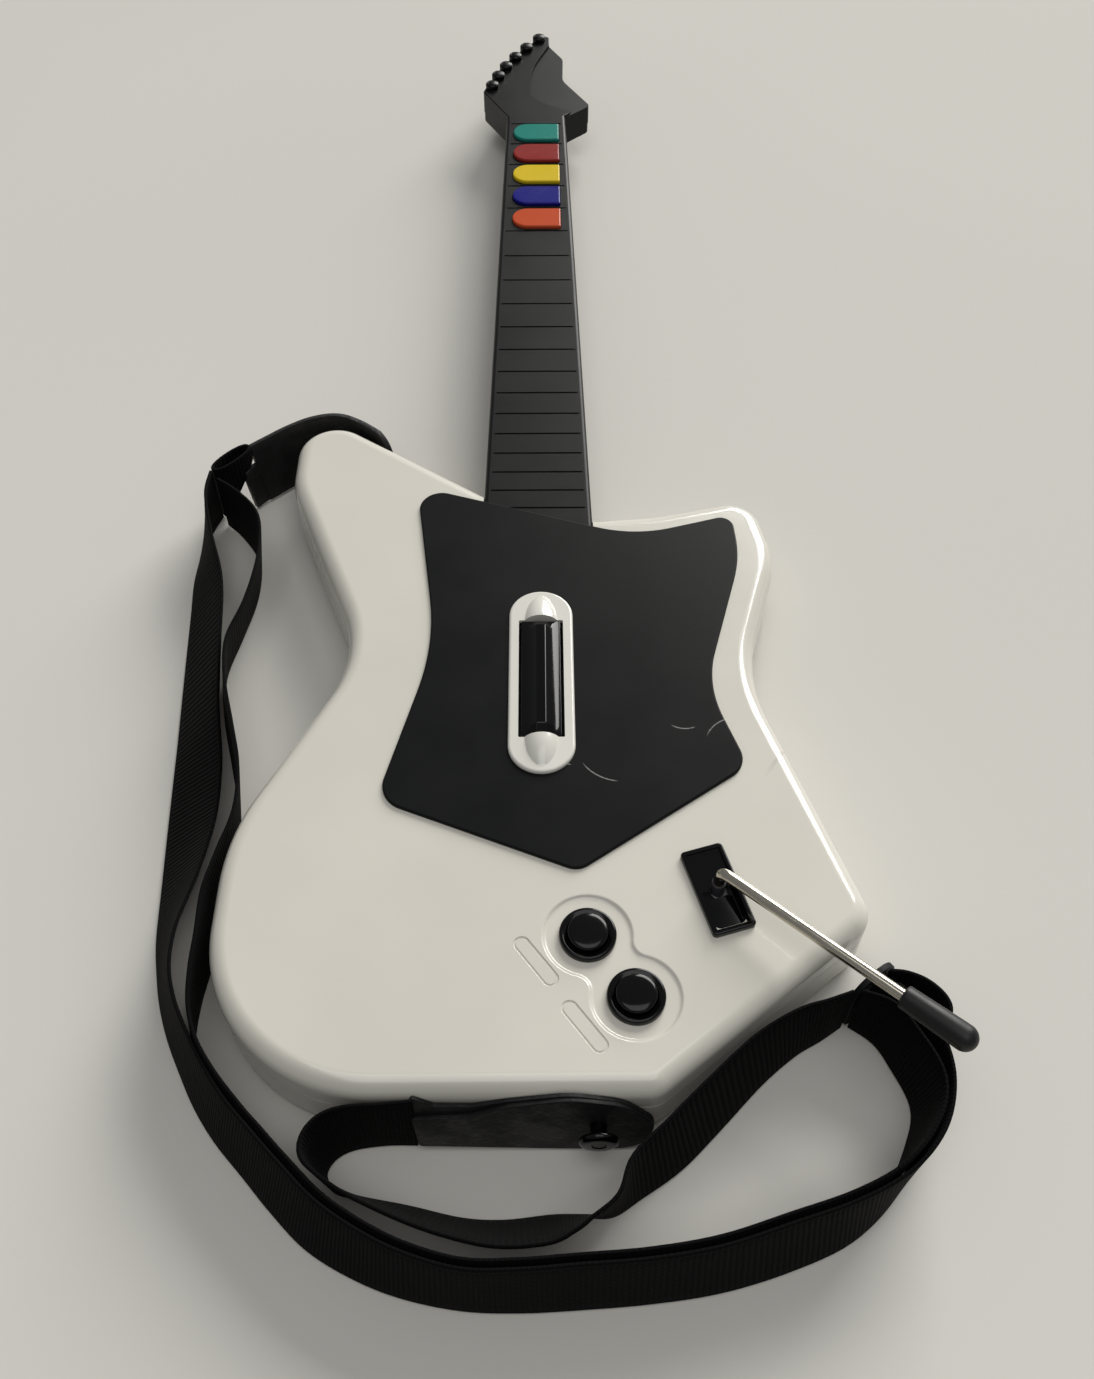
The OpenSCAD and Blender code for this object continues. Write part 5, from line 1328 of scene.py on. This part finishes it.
@dataclass
class StrapEnds:
    """The lower leather tab, the webbing's folded loop and the slider that joins the lengths."""

    lean: float = 10.0
    loop_at: tuple[float, float] = (-178.5, 170.5)
    loop_turn: float = 48.0
    loop_rise: float = 29.0
    slider_at: tuple[float, float] = (147.0, -157.0)
    slider_turn: float = 37.4

    def tab(self) -> bpy.types.Object:
        """Two layers of leather with a round end, leaning on the wall behind the button."""
        below = [(-52, 3, 2), (10, 0, 60), (45, 0, 15), (49, 20, 10), (35, 35, 20)]
        rear = rounded([*below, (12, 40.2, 30), (-14, 35.8, 26), (-28, 32, 8), (-44, 32.5, 3),
                        (-52.6, 38.4, 0.6), (-54, 36.6, 0.6)], 5)
        near = rounded([*below, (12, 39.8, 30), (-14, 34.8, 30), (-30, 27, 24), (-54, 25, 1.5)], 5)
        layers = [plate("lower_tab", inset(rear), 0, 1.75, 0.3, 0, 2),
                  plate("outer_layer", inset(near, 0.3), 1.85, 3.6, 0.45, 0, 2)]
        tab = join(*layers)
        for face in tab.data.polygons:
            face.material_index = 0 if abs(face.normal.z) > 0.9 else 1
        rise = TAIL_Y - 0.4 - (BODY_T - FRONT_ROUND) * math.tan(math.radians(self.lean))
        seat(tab, pose((0, rise, FLOOR_GAP), 0, Matrix.Rotation(math.radians(90 - self.lean), 4, "X")))
        hole = turned("hole", [(0, -5), (3.8, -5), (3.8, 30), (0, 30)], 40)
        sideways = Matrix.Rotation(math.radians(90), 4, "Y")
        bore(tab, seat(hole, pose((LOWER_BUTTON_X, TAIL_Y, STRAP_Z), -90, sideways)))
        return shade(tab, 35)

    def loop(self) -> bpy.types.Object:
        """The webbing's folded end, an upright lens-shaped loop."""
        turn = math.radians(self.loop_turn)
        rows = []
        for k in range(49):
            a = math.tau * k / 48
            x, y = 13.1 * math.cos(a), 4.1 * math.copysign(abs(math.sin(a)) ** 0.8, math.sin(a))
            at = Vector((self.loop_at[0] + x * math.cos(turn) - y * math.sin(turn),
                         self.loop_at[1] + x * math.sin(turn) + y * math.cos(turn), 0))
            foot = self.loop_rise * max(0.0, (x + 12.5) / 25.6) ** 0.8
            rows.append([(at + Vector((0, 0, FLOOR_GAP + foot + (WEBBING_W - foot) * j / 6))) * MM
                         for j in range(7)])
        loop = ribbon("strap_fold", rows)
        with Editing(loop):
            bpy.ops.mesh.select_all(action="SELECT")
            bpy.ops.mesh.remove_doubles(threshold=1e-5)
        apply(loop, "SOLIDIFY", thickness=1.7 * MM, offset=0.0, use_rim=True)
        apply(loop, "BEVEL", width=0.0005, segments=2, limit_method="ANGLE", angle_limit=math.radians(60))
        return shade(loop, 50, False)

    def slider(self) -> bpy.types.Object:
        """The plastic slider: a frame with a middle bar, standing on edge."""
        outline = rounded([(-13, 0, 5), (13, 0, 5), (13, 37.5, 11), (-13, 37.5, 11)], 10)
        slider = plate("slider_frame", inset(outline), -1.5, 1.5, 0.5, 0.5, 2)
        openings = [plate("opening", inset(placed(rectangle(5.2, 31, 1.2), (5.5 * side, 18.5))), -3, 3)
                    for side in (-1, 1)]
        bore(slider, join(*openings))
        upright = Matrix.Rotation(math.radians(90), 4, "X")
        seat(slider, pose((*self.slider_at, FLOOR_GAP), self.slider_turn, upright))
        return shade(slider, 35)

    def build(self) -> None:
        """Makes and dresses the pieces."""
        tab = self.tab()
        dress(tab, material(Finish.LEATHER), material(Finish.LEATHER_EDGE))
        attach(tab, "guitar")
        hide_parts("strap_tab_lower")
        loop = self.loop()
        dress(loop, Webbing(YARN, FOLD_L * MM).make("fold").material)
        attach(loop, "guitar")
        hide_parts("strap_loop")
        hand_over(self.slider(), "guitar", "slider_black", Finish.SLIDER, "strap_slider")


END_ROUTE = [
    (153, -155.5, 0), (160, -157.5, 2), (167, -162, 4), (172, -168, 5), (173.5, -173, 5), (171.5, -176, 4),
    (168, -173.5, 3), (163, -167.5, 2), (156, -161.5, 0)]
HEM_ROUTE = [(-161.5, 174, -18), (-164, 171.8, -17), (-166.5, 169.3, -15), (-169, 166.5, -12)]
TAB_ROUTE = [
    (-88, 181.5, -6), (-98, 190, -6), (-108, 196.5, -8), (-120, 200, -12), (-132, 197, -14),
    (-143, 189.5, -16), (-153, 181, -17), (-162, 173, -18)]


def beside(points: Sequence[tuple[float, float, float]], i: int, gap: float) -> tuple[float, float, float]:
    """A route's point moved to the left of the way it runs."""
    a, b = points[max(i - 1, 0)], points[min(i + 1, len(points) - 1)]
    h = Vector((b[0] - a[0], b[1] - a[1])).normalized()
    return (points[i][0] - h.y * gap, points[i][1] + h.x * gap, points[i][2])


SINGLE_ROUTE = [
    (-52.5, -217.5, -8), (-66, -217.5, -6), (-80, -219.5, -8), (-88, -224, -10), (-91, -231, -10),
    (-86, -237.5, -8), (-76, -240, -14), (-55, -244, -22), (-33, -249, -26), (-15, -250, -30),
    (5, -248, -30), (18, -248, -20), (30, -248, -4), (42, -241, 12), (60, -229, 18), (78, -212, 18),
    (98, -192, 15), (114, -179, 10), (126, -172, 5), (136.4, -165.1, 0)]
OUTER_ROUTE = [
    (-188.6, 159.6, 0), (-194, 141, 8), (-197, 110, 25), (-195, 78, 37), (-192, 36, 40), (-189, -4, 43),
    (-187, -35, 50), (-185, -65, 50), (-183, -93, 42), (-181, -120, 31), (-178, -137, 23), (-174, -153, 18),
    (-168, -169, 16), (-160, -185, 16), (-151, -201, 17), (-140, -216, 17), (-126, -231, 17),
    (-113, -245, 18), (-97, -260, 18), (-78, -271, 16), (-57, -279, 13), (-32, -284, 10), (-8, -285, 11),
    (16, -284, 12), (44, -282, 12), (73, -278, 13), (102, -270, 14), (128, -259, 10), (148, -242, 0),
    (160, -223, -8), (166, -204, -10), (165, -187, -10), (159, -173, -8), (147.4, -159.2, 0)]
INNER_ROUTE = [
    (-184, 153, 0), (-172, 140, 4), (-162, 122, 8), (-160, 94, 10), (-165, 64, 13), (-170, 36, 11),
    (-166, 8, 9), (-158, -22, 9), (-152, -46, 9), (-149.5, -70, 7), (-151.5, -92, 3), (-153.5, -113, 0),
    (-154, -135, 1), (-156, -152, 4), (-156, -170, 7), (-151, -187, 9), (-142.5, -203, 12),
    (-132, -217, 14), *[beside(OUTER_ROUTE, i, 3.6) for i in range(16, 31)],
    (156, -184, -8), (150, -173, -6), (140, -165, 0)]


KEPT_NODES: dict[str, Finish] = {
    "strum_axle": Finish.STEEL, "strum_frame": Finish.INNER_BLACK, "strum_switches": Finish.INNER_BLACK,
    "strum_springs": Finish.STEEL, "frame_screws": Finish.STEEL, "button_pad": Finish.SILICONE,
    "button_board": Finish.BOARD, "whammy_carrier": Finish.INNER_GREY, "whammy_pin": Finish.STEEL,
    "whammy_spring": Finish.STEEL, "whammy_sensor": Finish.INNER_GREY, "main_board": Finish.BOARD,
    "radio_module": Finish.CAN, "tilt_sensor": Finish.INNER_BLACK, "battery_cells": Finish.CELL,
    "battery_contacts": Finish.CONTACT, "switch_body": Finish.INNER_GREY, "body_screws": Finish.BLACK_STEEL,
    "fret_pad": Finish.SILICONE, "fret_board": Finish.BOARD, "neck_screws": Finish.BLACK_STEEL,
    "neck_cable": Finish.INNER_BLACK, "strap_button_screws": Finish.BLACK_STEEL,
}


def main() -> None:
    """Builds the studio and the guitar in order."""
    logging.basicConfig(level=logging.INFO, format="%(name)s: %(message)s")
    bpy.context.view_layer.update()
    Studio().build()
    BodyShells().build()
    RoundButton("select", "select", SELECT_C).build()
    RoundButton("start", "start", START_C).build()
    StrumBar().build()
    Whammy().build()
    Neck().build()
    BackFittings().build()
    StrapButton("strap_button_lower", (LOWER_BUTTON_X, TAIL_Y), -90).build()
    StrapButton("strap_button_upper", UPPER_BUTTON, UPPER_TURN).build()
    StrapRun("strap_single", "strap_webbing_single", SINGLE_ROUTE).build()
    StrapRun("strap_inner", "strap_webbing_inner", INNER_ROUTE).build()
    StrapRun("strap_outer", "strap_webbing_outer", OUTER_ROUTE).build()
    StrapRun("strap_stitched_end", "", END_ROUTE).build()
    StrapRun("upper_tab", "strap_tab_upper", TAB_ROUTE, 37.0, 3.6, 0.5, True, 18.0).build()
    StrapRun("tab_hem", "", HEM_ROUTE, 25.0, 3.4, 0.5, True).build()
    StrapEnds().build()
    for node, finish in KEPT_NODES.items():
        dress(frame["nodes"][node], material(finish))
        LOG.info("%s keeps its solid", node)


if __name__ == "__main__":
    main()
